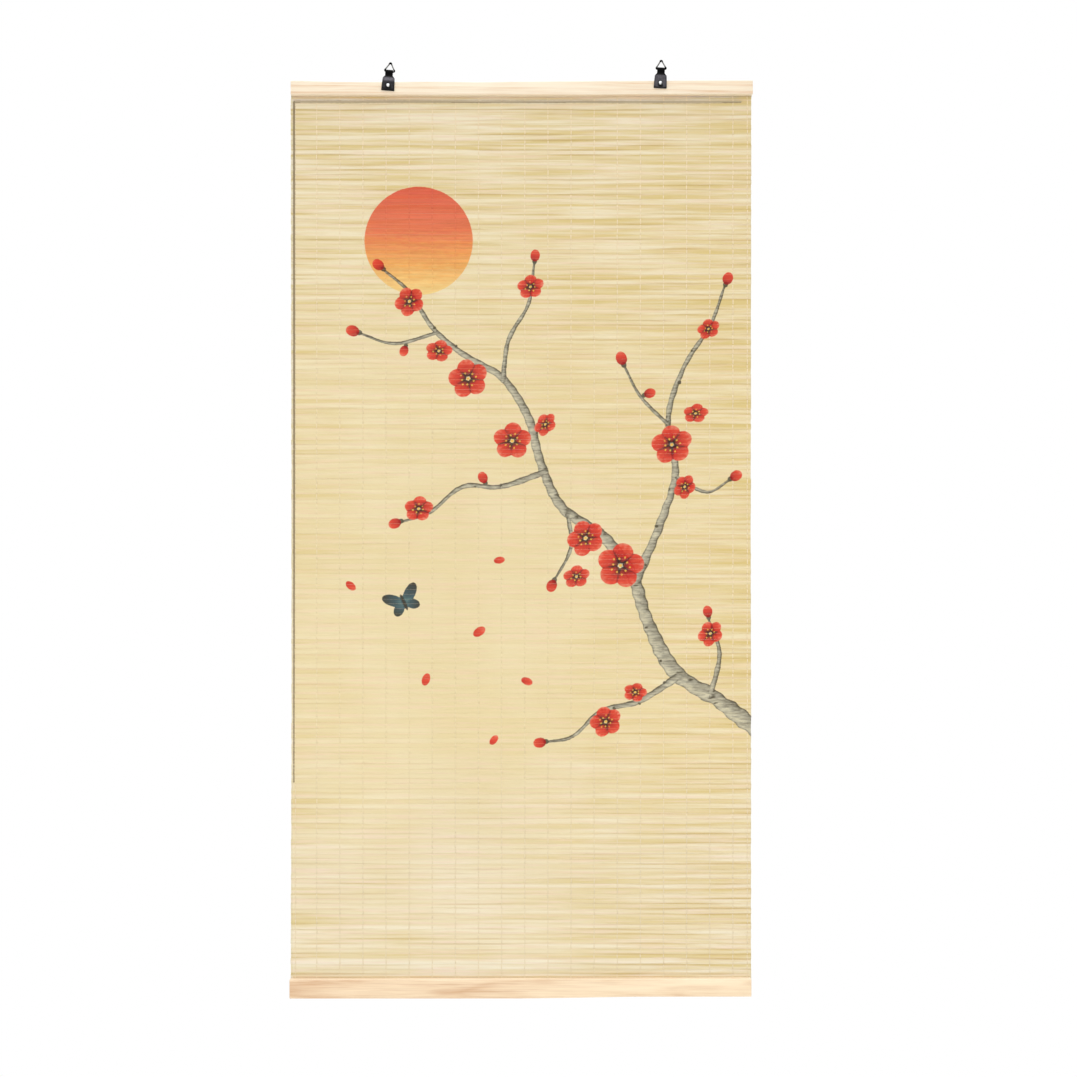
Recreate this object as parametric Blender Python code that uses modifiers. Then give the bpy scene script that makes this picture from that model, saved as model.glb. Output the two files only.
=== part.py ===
"""A bamboo slat blind that hangs from two ring hangers, modelled at its real size.

Lengths are in metres. The printed front faces -Y, the slats run along X and +Z is up. The origin is the
middle of the top batten's top face, in the mid plane of the mat.
"""

import math

import bmesh
import bpy
import numpy as np

MM = 0.001

# The whole blind, as it hangs
DROP = 994.4 * MM  # top face of the top batten to underside of the bottom batten
GAP = 0.3 * MM  # between pieces that meet

# Battens: planed pine with a kerf that takes the mat's edge
TOP_HEIGHT = 14.6 * MM
BOTTOM_HEIGHT = 19.7 * MM
FRONT_LIP = 7.2 * MM  # wood in front of the kerf
BACK_LIP = 3 * MM
KERF_DEPTH = 8 * MM
EASED_EDGE = 0.8 * MM
TOP_ENDS = (-250.2 * MM, 251.2 * MM)
BOTTOM_ENDS = (-251.5 * MM, 249.7 * MM)

# Mat: slats woven edge to edge, so that each shows as a rib on both faces
SLAT_COUNT = 179
RIB_HALF = 1.1 * MM  # half the thickness at a slat's flat
VALLEY_HALF = 0.5 * MM  # and in the valley between two slats
RIB_SLOPE = 0.9 * MM  # width of the slope from a valley up to the flat
SLAT_WIDTH_SPREAD = 0.06  # slats are split by hand, so their widths differ
SLAT_SLANT = 0.35 * MM
SLAT_END_SPREAD = 0.5 * MM
SLAT_SEED = 41

# The mat's sides, from the top down: share of the drop, left side, right side
MAT_SIDES = (
    (0.0, -251.8 * MM, 250.8 * MM),
    (0.5, -250.3 * MM, 249.9 * MM),
    (0.7, -250.2 * MM, 250.4 * MM),
    (1.0, -252.0 * MM, 250.3 * MM),
)

# Hangers: a strap folded over the base bar of a triangular ring
WIRE_RADIUS = 0.7 * MM
FOLD_INNER_RADIUS = 1.1 * MM
STRAP_SHEET = 0.65 * MM
FOLD_RADIUS = FOLD_INNER_RADIUS + STRAP_SHEET
STRAP_THICKNESS = 2 * STRAP_SHEET
STRAP_LENGTH = 20.4 * MM  # ring bar to foot
NECK_HALF = 3.85 * MM
SHOULDER_HALF = 6.5 * MM
FOOT_HALF = 7.1 * MM
NECK_END = 3.2 * MM  # below the ring bar
FOLD_END = 4.2 * MM  # where the two layers meet
SHOULDER_END = 8.2 * MM
FOOT_CORNER = 0.8 * MM
SCREW_DROP = 14.8 * MM  # ring bar to screw
RING_BASE = 11.8 * MM  # sharp corner to sharp corner, along the wire's middle
RING_HEIGHT = 9.9 * MM
RING_BEND = 0.95 * MM

# Screws: pan head, in a pilot hole
HEAD_RADIUS = 1.95 * MM
HEAD_HEIGHT = 1.3 * MM
HEAD_RIM = 0.4 * MM
SHANK_RADIUS = 0.9 * MM
SHANK_IN_WOOD = 6 * MM
SCREW_TIP = 1.2 * MM

# How finely round shapes are stepped
ROUND_SIDES = 24
FOLD_STEPS = 20
SHOULDER_STEPS = 8
CORNER_STEPS = 4
BEND_STEPS = 6
DOME_STEPS = 6

# Cutters reach past what they cut
PAST = 2 * MM
HANGER_CUT = 30 * MM

# side, x and z of the ring bar, lean of the strap and of its ring (degrees, clockwise from the front), and how
# far the ring has slid to the right in the fold
HANGERS = (
    ("left", -143.15 * MM, 9.6 * MM, 4.8, 7.8, 0.4 * MM),
    ("right", 151.5 * MM, 12.2 * MM, 2.8, 1.0, 0.0),
)

# Worked out from the above
KERF_HALF = RIB_HALF + GAP
BATTEN_FRONT = -KERF_HALF - FRONT_LIP
BATTEN_BACK = KERF_HALF + BACK_LIP
MAT_TOP = -TOP_HEIGHT + KERF_DEPTH - GAP
MAT_BOTTOM = -DROP + BOTTOM_HEIGHT - KERF_DEPTH + GAP
STRAP_FRONT = FOLD_RADIUS - STRAP_THICKNESS  # the ring bar is the zero of a hanger's own sizes
BAR_Y = BATTEN_FRONT - GAP - FOLD_RADIUS
SHANK_LENGTH = GAP + STRAP_THICKNESS + GAP + SHANK_IN_WOOD

# sRGB colour, roughness, metallic
FINISHES = {
    "bamboo": ("#E6D2A3", 0.6, 0.0),
    "pine": ("#F2D6B2", 0.55, 0.0),
    "painted_steel": ("#26242A", 0.35, 0.3),
    "steel_wire": ("#8E8E8C", 0.3, 1.0),
    "nickel": ("#E4E4E2", 0.2, 1.0),
}


def linear(channel):
    """A linear value for one sRGB channel from 0 to 1."""
    return channel / 12.92 if channel <= 0.04045 else ((channel + 0.055) / 1.055) ** 2.4


def make_finish(name, colour, roughness, metallic):
    finish = bpy.data.materials.new(name)
    finish.use_nodes = True
    shader = finish.node_tree.nodes["Principled BSDF"]
    rgb = [linear(int(colour[i : i + 2], 16) / 255) for i in (1, 3, 5)]
    shader.inputs["Base Color"].default_value = (*rgb, 1.0)
    shader.inputs["Roughness"].default_value = roughness
    shader.inputs["Metallic"].default_value = metallic
    return finish


def clear_scene():
    for obj in list(bpy.data.objects):
        bpy.data.objects.remove(obj, do_unlink=True)


def make_collection(name):
    made = bpy.data.collections.new(name)
    bpy.context.scene.collection.children.link(made)
    return made


def add_object(name, data, collection, parent=None):
    obj = bpy.data.objects.new(name, data)
    obj.parent = parent
    collection.objects.link(obj)
    return obj


def dress(obj, finish):
    obj.data.materials.clear()
    obj.data.materials.append(bpy.data.materials[finish])


def make_box(name, low, high, collection):
    bm = bmesh.new()
    bmesh.ops.create_cube(bm, size=1.0)
    for vert in bm.verts:
        vert.co = [a + (b - a) * (c + 0.5) for a, b, c in zip(low, high, vert.co)]
    mesh = bpy.data.meshes.new(name)
    bm.to_mesh(mesh)
    bm.free()
    return add_object(name, mesh, collection)


def make_rod(name, radius, length, collection, parent=None):
    """A cylinder about its own Z, with its middle at its origin."""
    bm = bmesh.new()
    bmesh.ops.create_cone(
        bm,
        cap_ends=True,
        segments=ROUND_SIDES,
        radius1=radius,
        radius2=radius,
        depth=length,
    )
    mesh = bpy.data.meshes.new(name)
    bm.to_mesh(mesh)
    bm.free()
    return add_object(name, mesh, collection, parent)


def make_plate(name, outline, thickness, collection, parent=None):
    """A flat plate in its own XY plane, from the outline's points in order."""
    curve = bpy.data.curves.new(name, "CURVE")
    curve.dimensions = "2D"
    curve.fill_mode = "BOTH"
    curve.extrude = thickness / 2
    spline = curve.splines.new("POLY")
    spline.points.add(len(outline) - 1)
    for point, (x, y) in zip(spline.points, outline):
        point.co = (x, y, 0.0, 1.0)
    spline.use_cyclic_u = True
    return add_object(name, curve, collection, parent)


def as_mesh(curve_object):
    """The curve object's shape as a closed mesh object in the same place, in the curve's stead."""
    bpy.context.view_layer.update()
    evaluated = curve_object.evaluated_get(bpy.context.evaluated_depsgraph_get())
    mesh = bpy.data.meshes.new_from_object(evaluated)
    bm = bmesh.new()
    bm.from_mesh(mesh)
    bmesh.ops.remove_doubles(bm, verts=bm.verts, dist=0.001 * MM)
    bmesh.ops.recalc_face_normals(bm, faces=bm.faces)
    bm.to_mesh(mesh)
    bm.free()
    mesh.shade_flat()
    name = curve_object.name
    collection = curve_object.users_collection[0]
    parent = curve_object.parent
    place = curve_object.matrix_world.copy()
    bpy.data.objects.remove(curve_object, do_unlink=True)
    made = add_object(name, mesh, collection, parent)
    made.matrix_world = place
    return made


def combine(target, other, operation):
    other.hide_render = True
    other.display_type = "WIRE"
    modifier = target.modifiers.new(other.name, "BOOLEAN")
    modifier.operation = operation
    modifier.solver = "EXACT"
    modifier.object = other


def smooth(obj, angle_degrees=35):
    obj.data.shade_smooth()
    obj.data.set_sharp_from_angle(angle=math.radians(angle_degrees))


def slat_edges():
    """Heights of the edges between slats from the bottom up, at the mat's left and right sides."""
    random = np.random.default_rng(SLAT_SEED)
    widths = 1 + random.uniform(-SLAT_WIDTH_SPREAD, SLAT_WIDTH_SPREAD, SLAT_COUNT)
    heights = np.concatenate([[0.0], np.cumsum(widths) / widths.sum()])
    edges = MAT_BOTTOM + (MAT_TOP - MAT_BOTTOM) * heights
    slants = random.uniform(-SLAT_SLANT, SLAT_SLANT, (2, SLAT_COUNT + 1))
    slants[:, [0, -1]] = 0.0
    return edges + slants[0], edges + slants[1]


def slat_ends():
    """Where each slat ends on the left and on the right, from the bottom up."""
    random = np.random.default_rng(SLAT_SEED + 1)
    share, left, right = np.array(MAT_SIDES).T
    down = 1 - (np.arange(SLAT_COUNT) + 0.5) / SLAT_COUNT
    spread = random.uniform(-SLAT_END_SPREAD, SLAT_END_SPREAD, (2, SLAT_COUNT))
    return (
        np.interp(down, share, left) + spread[0],
        np.interp(down, share, right) + spread[1],
    )


def rib_line(edges, ends, inwards):
    """Points (x, y, z) up one side of the mat's front: a valley, then a slat's two shoulders."""
    points = []
    for k in range(SLAT_COUNT):
        beside = ends[max(k - 1, 0) : k + 1]
        valley_x = max(beside) if inwards > 0 else min(beside)
        points.append((valley_x, -VALLEY_HALF, edges[k]))
        points.append((ends[k], -RIB_HALF, edges[k] + RIB_SLOPE))
        points.append((ends[k], -RIB_HALF, edges[k + 1] - RIB_SLOPE))
    points.append((ends[-1], -VALLEY_HALF, edges[-1]))
    return points


def make_mat(collection):
    """The mat's ribbed front and half of its rim, mirrored to the back."""
    left_edges, right_edges = slat_edges()
    left_ends, right_ends = slat_ends()
    left = rib_line(left_edges, left_ends, 1)
    right = rib_line(right_edges, right_ends, -1)
    bm = bmesh.new()
    line = [bm.verts.new(point) for point in left]
    lines = [bm.edges.new(pair) for pair in zip(line, line[1:])]
    grown = bmesh.ops.extrude_edge_only(bm, edges=lines)["geom"]
    moved = [item for item in grown if isinstance(item, bmesh.types.BMVert)]
    for vert, point in zip(sorted(moved, key=lambda item: item.co.z), right):
        vert.co = point
    rim = [edge for edge in bm.edges if edge.is_boundary]
    walls = bmesh.ops.extrude_edge_only(bm, edges=rim)["geom"]
    for item in walls:
        if isinstance(item, bmesh.types.BMVert):
            item.co.y = 0.0
    bmesh.ops.recalc_face_normals(bm, faces=bm.faces)
    front = min(bm.faces, key=lambda face: face.calc_center_median().y)
    if front.normal.y > 0:
        bmesh.ops.reverse_faces(bm, faces=bm.faces)
    mesh = bpy.data.meshes.new("bamboo_mat")
    bm.to_mesh(mesh)
    bm.free()
    mat = add_object("bamboo_mat", mesh, collection)
    mirror = mat.modifiers.new("back", "MIRROR")
    mirror.use_axis = (False, True, False)
    mirror.merge_threshold = 0.01 * MM
    dress(mat, "bamboo")
    return mat


def make_batten(name, ends, bottom, top, kerf_down, parts, cutters):
    """A pine bar with eased edges and a kerf along its lower or its upper edge."""
    batten = make_box(
        name, (ends[0], BATTEN_FRONT, bottom), (ends[1], BATTEN_BACK, top), parts
    )
    bevel = batten.modifiers.new("eased edges", "BEVEL")
    bevel.width = EASED_EDGE
    bevel.segments = 2
    low, high = (
        (bottom - PAST, bottom + KERF_DEPTH)
        if kerf_down
        else (top - KERF_DEPTH, top + PAST)
    )
    kerf = make_box(
        name + "_kerf",
        (ends[0] - PAST, -KERF_HALF, low),
        (ends[1] + PAST, KERF_HALF, high),
        cutters,
    )
    combine(batten, kerf, "DIFFERENCE")
    dress(batten, "pine")
    return batten


def arc(centre, radius, start, end, steps):
    """Points round a centre, with angles in degrees."""
    angles = np.radians(np.linspace(start, end, steps + 1))
    return [
        (centre[0] + radius * math.cos(a), centre[1] + radius * math.sin(a))
        for a in angles
    ]


def strap_face():
    """The strap's outline from the front (x, z): straight neck, round shoulders, widening foot."""
    right = [(NECK_HALF, FOLD_RADIUS + PAST)]
    for share in np.linspace(0, 1, SHOULDER_STEPS + 1):
        swell = (1 - math.cos(math.pi * share)) / 2
        down = NECK_END + (SHOULDER_END - NECK_END) * share
        right.append((NECK_HALF + (SHOULDER_HALF - NECK_HALF) * swell, -down))
    corner = (FOOT_HALF - FOOT_CORNER, FOOT_CORNER - STRAP_LENGTH)
    right += arc(corner, FOOT_CORNER, 0, -90, CORNER_STEPS)
    return right + [(-x, z) for x, z in reversed(right)]


def strap_side():
    """The strap's outline from its right (y, z): the fold round the ring bar, closing to two layers."""
    meets = -FOLD_END
    away = math.hypot(STRAP_FRONT, meets)
    towards = math.degrees(math.atan2(meets, STRAP_FRONT))
    tangent = towards - math.degrees(math.acos(FOLD_RADIUS / away))
    fold = arc((0.0, 0.0), FOLD_RADIUS, 0, 360 + tangent, FOLD_STEPS)
    foot = -STRAP_LENGTH - PAST
    return [*fold, (STRAP_FRONT, meets), (STRAP_FRONT, foot), (FOLD_RADIUS, foot)]


def make_strap(side, place, parts, cutters):
    """Where the strap's side outline and its front outline both hold, less the fold's bore and the screw hole."""
    name = f"hanger_strap_{side}"
    profile = make_plate(name, strap_side(), HANGER_CUT, parts, place)
    profile.rotation_euler = (math.pi / 2, 0.0, math.pi / 2)
    strap = as_mesh(profile)
    smooth(strap)
    face = make_plate(name + "_face", strap_face(), HANGER_CUT, cutters, place)
    face.rotation_euler = (math.pi / 2, 0.0, 0.0)
    combine(strap, as_mesh(face), "INTERSECT")
    bore = make_rod(name + "_bore", FOLD_INNER_RADIUS, HANGER_CUT, cutters, place)
    bore.rotation_euler = (0.0, math.pi / 2, 0.0)
    combine(strap, bore, "DIFFERENCE")
    hole = make_rod(name + "_hole", SHANK_RADIUS + GAP, HANGER_CUT, cutters, place)
    hole.location = (0.0, 0.0, -SCREW_DROP)
    hole.rotation_euler = (math.pi / 2, 0.0, 0.0)
    combine(strap, hole, "DIFFERENCE")
    dress(strap, "painted_steel")


def ring_line():
    """The middle of the ring's wire (x, z): a triangle on its base bar, with bent corners."""
    corners = ((-RING_BASE / 2, 0.0), (RING_BASE / 2, 0.0), (0.0, RING_HEIGHT))
    slope = math.degrees(math.atan2(RING_HEIGHT, RING_BASE / 2))
    turns = ((90 + slope, 270), (270, 450 - slope), (90 - slope, 90 + slope))
    insides = (slope / 2, 180 - slope / 2, 270)
    openings = (slope, slope, 180 - 2 * slope)
    points = []
    for corner, turn, inside, opening in zip(corners, turns, insides, openings):
        reach = RING_BEND / math.sin(math.radians(opening / 2))
        centre = (
            corner[0] + reach * math.cos(math.radians(inside)),
            corner[1] + reach * math.sin(math.radians(inside)),
        )
        points += arc(centre, RING_BEND, turn[0], turn[1], BEND_STEPS)
    return points


def make_ring(side, place, lean, slid, parts):
    name = f"hanger_ring_{side}"
    curve = bpy.data.curves.new(name, "CURVE")
    curve.dimensions = "3D"
    curve.bevel_depth = WIRE_RADIUS
    curve.bevel_resolution = 2
    line = ring_line()
    spline = curve.splines.new("POLY")
    spline.points.add(len(line) - 1)
    for point, (x, z) in zip(spline.points, line):
        point.co = (x, 0.0, z, 1.0)
    spline.use_cyclic_u = True
    ring = add_object(name, curve, parts, place)
    ring.location = (slid, 0.0, 0.0)
    ring.rotation_euler = (0.0, lean, 0.0)
    dress(ring, "steel_wire")


def make_screw(side, place, parts):
    """A turned pan head and shank about the screw's own Z, which faces forwards."""
    name = f"hanger_screw_{side}"
    seat = GAP
    dome = [
        (
            HEAD_RADIUS * math.sin(a),
            seat + HEAD_RIM + (HEAD_HEIGHT - HEAD_RIM) * math.cos(a),
        )
        for a in np.linspace(0, math.pi / 2, DOME_STEPS + 1)
    ]
    profile = [
        *dome,
        (HEAD_RADIUS, seat),
        (SHANK_RADIUS, seat),
        (SHANK_RADIUS, seat - SHANK_LENGTH + SCREW_TIP),
        (0.0, seat - SHANK_LENGTH),
    ]
    bm = bmesh.new()
    verts = [bm.verts.new((radius, 0.0, height)) for radius, height in profile]
    for pair in zip(verts, verts[1:]):
        bm.edges.new(pair)
    mesh = bpy.data.meshes.new(name)
    bm.to_mesh(mesh)
    bm.free()
    screw = add_object(name, mesh, parts, place)
    screw.location = (0.0, STRAP_FRONT, -SCREW_DROP)
    screw.rotation_euler = (math.pi / 2, 0.0, 0.0)
    turning = screw.modifiers.new("turned", "SCREW")
    turning.steps = ROUND_SIDES
    turning.render_steps = ROUND_SIDES
    turning.use_merge_vertices = True
    turning.merge_threshold = 0.01 * MM
    smooth(screw)
    dress(screw, "nickel")


def make_pilot_hole(side, place, batten, cutters):
    depth = SHANK_LENGTH + GAP
    hole = make_rod(
        f"pilot_hole_{side}", SHANK_RADIUS + GAP, 2 * depth, cutters, place
    )
    hole.location = (0.0, STRAP_FRONT - GAP, -SCREW_DROP)
    hole.rotation_euler = (math.pi / 2, 0.0, 0.0)
    combine(batten, hole, "DIFFERENCE")


def make_hanger(row, batten, parts, cutters):
    side, bar_x, bar_z, strap_lean, ring_lean, slid = row
    place = add_object(f"hanger_place_{side}", None, parts)
    place.location = (bar_x, BAR_Y, bar_z)
    place.rotation_euler = (0.0, math.radians(strap_lean), 0.0)
    make_strap(side, place, parts, cutters)
    make_ring(side, place, math.radians(ring_lean - strap_lean), slid, parts)
    make_screw(side, place, parts)
    make_pilot_hole(side, place, batten, cutters)


def main():
    clear_scene()
    for name, finish in FINISHES.items():
        make_finish(name, *finish)
    parts = make_collection("bamboo blind")
    cutters = make_collection("cutters")
    make_mat(parts)
    top = make_batten(
        "top_batten", TOP_ENDS, -TOP_HEIGHT, 0.0, True, parts, cutters
    )
    make_batten(
        "bottom_batten",
        BOTTOM_ENDS,
        -DROP,
        -DROP + BOTTOM_HEIGHT,
        False,
        parts,
        cutters,
    )
    for row in HANGERS:
        make_hanger(row, top, parts, cutters)


main()
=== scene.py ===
"""The looks of a printed bamboo slat blind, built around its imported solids.

Lengths are in metres, in the solids' own frame: the printed front faces -Y, the slats run along X, +Z is up,
and the origin is the middle of the top batten's top face, in the mid plane of the mat.
"""

import logging
import math
from dataclasses import dataclass, field
from enum import Enum
from functools import partial
from typing import Sequence

import bmesh
import bpy
import numpy as np
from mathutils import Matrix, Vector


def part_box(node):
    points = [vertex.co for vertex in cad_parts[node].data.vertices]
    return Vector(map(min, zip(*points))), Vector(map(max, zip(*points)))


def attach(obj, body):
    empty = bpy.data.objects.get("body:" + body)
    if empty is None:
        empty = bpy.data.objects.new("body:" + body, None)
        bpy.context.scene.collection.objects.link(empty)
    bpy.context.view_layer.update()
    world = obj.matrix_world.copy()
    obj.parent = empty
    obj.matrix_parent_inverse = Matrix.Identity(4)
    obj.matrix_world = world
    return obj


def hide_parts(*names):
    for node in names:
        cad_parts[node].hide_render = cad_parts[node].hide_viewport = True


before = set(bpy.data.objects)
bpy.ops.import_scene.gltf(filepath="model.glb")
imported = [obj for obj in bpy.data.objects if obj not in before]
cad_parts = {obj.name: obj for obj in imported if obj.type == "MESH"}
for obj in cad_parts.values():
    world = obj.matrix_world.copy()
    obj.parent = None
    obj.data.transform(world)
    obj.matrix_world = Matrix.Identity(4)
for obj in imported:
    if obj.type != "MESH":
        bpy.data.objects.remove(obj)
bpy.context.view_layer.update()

MM = 0.001
BODY = "root"

Array = np.ndarray
Rgba = tuple[float, float, float, float]
Point = tuple[float, float]
Span = tuple[float, ...]
Socket = bpy.types.NodeSocket
Node = bpy.types.Node
Tree = bpy.types.NodeTree
Material = bpy.types.Material
Thing = bpy.types.Object
Feed = Socket | Node | float | str | Sequence[float]

WHITE: Rgba = (1.0, 1.0, 1.0, 1.0)

log = logging.getLogger("bamboo blind")


class Slot(Enum):
    """The material slots."""

    BAMBOO = "bamboo"
    PINE = "pine"
    PAINTED_STEEL = "painted_steel"
    STEEL_WIRE = "steel_wire"
    NICKEL = "nickel"
    COTTON_THREAD = "cotton_thread"


class Layer(Enum):
    """The print's inks, in the order in which they are laid down. Each is an attribute of the mesh."""

    SUN = "ink_sun"
    WING = "ink_wing"
    BRANCH = "ink_branch"
    BLOOM = "ink_bloom"
    POLLEN = "ink_pollen"
    EDGING = "ink_edging"


# Colours and nodes


def linear_colour(hex_colour: str) -> Rgba:
    """Turns an sRGB hex colour into the linear RGBA that shaders take.

    Args:
        hex_colour: such as "#E8D5AA".

    Returns:
        Red, green and blue from 0 to 1, and an alpha of 1.
    """
    srgb = np.array([int(hex_colour[i : i + 2], 16) for i in (1, 3, 5)]) / 255
    rgb = np.where(srgb <= 0.04045, srgb / 12.92, ((srgb + 0.055) / 1.055) ** 2.4)
    return (float(rgb[0]), float(rgb[1]), float(rgb[2]), 1.0)


def feed(node: Node, *values: Feed, **named: Feed) -> None:
    """Gives a node's inputs what they take: a value, a hex colour, a socket, or a node's first output in use.

    Args:
        node: the node.
        values: for its inputs in use, in their order.
        named: for its inputs by name, with _ for each space.
    """
    tree = node.id_data
    sockets = [socket for socket in node.inputs if socket.enabled]
    by_name = {socket.name.replace(" ", "_"): socket for socket in sockets}
    pairs = [*zip(sockets, values), *((by_name[name], value) for name, value in named.items())]
    for socket, value in pairs:
        if isinstance(value, Node):
            value = next(output for output in value.outputs if output.enabled)
        if isinstance(value, Socket):
            tree.links.new(value, socket)
        else:
            socket.default_value = linear_colour(value) if isinstance(value, str) else value


def add_node(tree: Tree, kind: str, *values: Feed, **named: object) -> Node:
    """Adds a shader node with its settings, values and links.

    Args:
        tree: the node tree that takes it.
        kind: the node's type, such as "TexNoise".
        values: what its inputs take, as in feed.
        named: its own settings in small letters, and inputs by name as in feed.

    Returns:
        The new node.
    """
    node = tree.nodes.new("ShaderNode" + kind)
    for name in [name for name in named if name.islower()]:
        setattr(node, name, named.pop(name))
    feed(node, *values, **named)
    return node


def set_stops(ramp: Node, stops: Sequence[tuple[float, str]]) -> None:
    """Gives a colour ramp its stops.

    Args:
        ramp: the colour ramp node.
        stops: place from 0 to 1 and hex colour, from the left.
    """
    elements = ramp.color_ramp.elements
    while len(elements) < len(stops):
        elements.new(1.0)
    for element, (place, colour) in zip(elements, stops):
        element.position = place
        element.color = linear_colour(colour)


def add_grain(tree: Tree, place: Socket, seed: Feed, length: float, width: float,
              detail: float = 2.0) -> Node:
    """Adds long noise that runs along X, as fibres do.

    Args:
        tree: the node tree that takes it.
        place: coordinates in metres.
        seed: shifts the noise, so that it differs from strip to strip.
        length: of a typical streak.
        width: of a typical streak.
        detail: how many finer octaves it has.

    Returns:
        The noise, about 0.5 on average.
    """
    size = (1 / length, 1 / width, 1 / width)
    scaled = add_node(tree, "VectorMath", place, size, operation="MULTIPLY")
    moved = add_node(tree, "VectorMath", scaled, seed, operation="ADD")
    return add_node(tree, "TexNoise", moved, Scale=1.0, Detail=detail, Roughness=0.55)


def new_material(name: str, **inputs: Feed) -> tuple[Material, Tree, Socket]:
    """Makes a material.

    Args:
        name: the material's name.
        inputs: what the Principled shader's inputs take, by name.

    Returns:
        The material, its node tree, and its coordinates in metres.
    """
    material = bpy.data.materials.new(name)
    material.use_nodes = True
    tree = material.node_tree
    feed(tree.nodes["Principled BSDF"], **inputs)
    return material, tree, add_node(tree, "TexCoord").outputs["Object"]


def coat(tree: Tree, colour: Node, relief: Node, strength: float, height: float) -> None:
    """Gives a material's shader its colour and its relief.

    Args:
        tree: the material's node tree.
        colour: its colour.
        relief: the pattern that stands proud.
        strength: how strong the bump is.
        height: how high the pattern stands.
    """
    bump = add_node(tree, "Bump", Strength=strength, Distance=height, Height=relief)
    feed(tree.nodes["Principled BSDF"], Base_Color=colour, Normal=bump)


# Meshes


def new_object(name: str, data: bpy.types.ID) -> Thing:
    """Makes an object and puts it into the scene.

    Args:
        name: the object's name.
        data: its mesh, lamp or camera.

    Returns:
        The object.
    """
    obj = bpy.data.objects.new(name, data)
    bpy.context.scene.collection.objects.link(obj)
    return obj


def from_bmesh(name: str, bm: bmesh.types.BMesh) -> Thing:
    """Makes an object of a bmesh.

    Args:
        name: the object's name.
        bm: its mesh, which is used up.

    Returns:
        The object.
    """
    mesh = bpy.data.meshes.new(name)
    bm.to_mesh(mesh)
    bm.free()
    return new_object(name, mesh)


def smooth(obj: Thing, sharp_degrees: float) -> None:
    """Shades a mesh smooth, but for the edges that bend more than an angle."""
    obj.data.shade_smooth()
    obj.data.set_sharp_from_angle(angle=math.radians(sharp_degrees))


def apply_modifiers(obj: Thing) -> None:
    """Gives an object the mesh that its modifiers make, and takes them off."""
    bpy.context.view_layer.update()
    evaluated = obj.evaluated_get(bpy.context.evaluated_depsgraph_get())
    obj.data = bpy.data.meshes.new_from_object(evaluated)
    obj.modifiers.clear()


def cut_out(obj: Thing, cutter: Thing) -> None:
    """Cuts one object's shape out of another.

    Args:
        obj: the object that is cut.
        cutter: the shape, which is removed.
    """
    obj.modifiers.new("cut", "BOOLEAN").object = cutter
    apply_modifiers(obj)
    bpy.data.objects.remove(cutter, do_unlink=True)


def points_of(obj: Thing) -> Array:
    """The points of a mesh, in the shape (points, 3)."""
    flat = np.zeros(len(obj.data.vertices) * 3, np.float32)
    obj.data.vertices.foreach_get("co", flat)
    return flat.reshape(-1, 3).astype(float)


def set_attribute(obj: Thing, name: str, values: Array) -> None:
    """Stores a number, or three numbers, for each point of a mesh.

    Args:
        obj: the mesh object.
        name: the attribute's name, which its finish reads.
        values: in the shape (points,) or (points, 3).
    """
    kind, key = ("FLOAT", "value") if values.ndim == 1 else ("FLOAT_VECTOR", "vector")
    attribute = obj.data.attributes.new(name, kind, "POINT")
    attribute.data.foreach_set(key, values.astype(np.float32).ravel())


def place_piece(obj: Thing, material: Material, slot: Slot, *nodes: str) -> Thing:
    """Dresses a piece, sets it on its body and hides the solids that it replaces.

    Args:
        obj: the piece, in its place.
        material: its finish.
        slot: the material slot for that finish; not used.
        nodes: the solids that it replaces.

    Returns:
        The piece.
    """
    obj.data.materials.clear()
    obj.data.materials.append(material)
    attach(obj, BODY)
    if nodes:
        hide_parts(*nodes)
    obj.data.calc_loop_triangles()
    log.info("%s: %d triangles", obj.name, len(obj.data.loop_triangles))
    return obj


@dataclass
class Weave:
    """Gathers tubes into one mesh."""

    points: list[Array] = field(default_factory=list)
    faces: list[list[int]] = field(default_factory=list)
    count: int = 0

    def add_tube(self, rings: Array, closed: bool = False) -> None:
        """Adds a tube through rings of points, with flat ends unless it is closed on itself.

        Args:
            rings: points, in the shape (stations, points around, 3).
            closed: joins the last ring to the first.
        """
        stations, around, _ = rings.shape
        index = self.count + np.arange(stations * around).reshape(stations, around)
        if closed:
            index = np.vstack([index, index[:1]])
        beside = np.roll(index, -1, axis=1)
        quads = np.stack([index[:-1], beside[:-1], beside[1:], index[1:]], axis=-1)
        self.faces += quads.reshape(-1, 4).tolist()
        if not closed:
            self.faces += [index[0, ::-1].tolist(), index[-1].tolist()]
        self.points.append(rings.reshape(-1, 3))
        self.count += stations * around

    def finish(self, name: str, sharp_degrees: float) -> Thing:
        """Makes the mesh object, with its faces turned outwards.

        Args:
            name: the object's name.
            sharp_degrees: edges that bend more than this stay sharp.

        Returns:
            The object.
        """
        mesh = bpy.data.meshes.new(name)
        mesh.from_pydata(np.concatenate(self.points).tolist(), [], self.faces)
        bm = bmesh.new()
        bm.from_mesh(mesh)
        bmesh.ops.recalc_face_normals(bm, faces=bm.faces)
        bm.to_mesh(mesh)
        bm.free()
        obj = new_object(name, mesh)
        smooth(obj, sharp_degrees)
        return obj


def turned(x: Array | float, z: Array | float, degrees: float) -> tuple[Array | float, Array | float]:
    """Coordinates along and across a direction.

    Args:
        x: the points' x, or one point's.
        z: the points' z, or one point's.
        degrees: the direction, anticlockwise of the x axis.

    Returns:
        How far along the direction the points lie, and how far to its left.
    """
    angle = math.radians(degrees)
    return x * math.cos(angle) + z * math.sin(angle), z * math.cos(angle) - x * math.sin(angle)


def left_of(along: Array) -> Array:
    """Unit vectors to the left of directions in a plane, in the shape (directions, 2)."""
    left = np.stack([-along[:, 1], along[:, 0]], axis=1)
    return left / np.linalg.norm(left, axis=1)[:, None]


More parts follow.
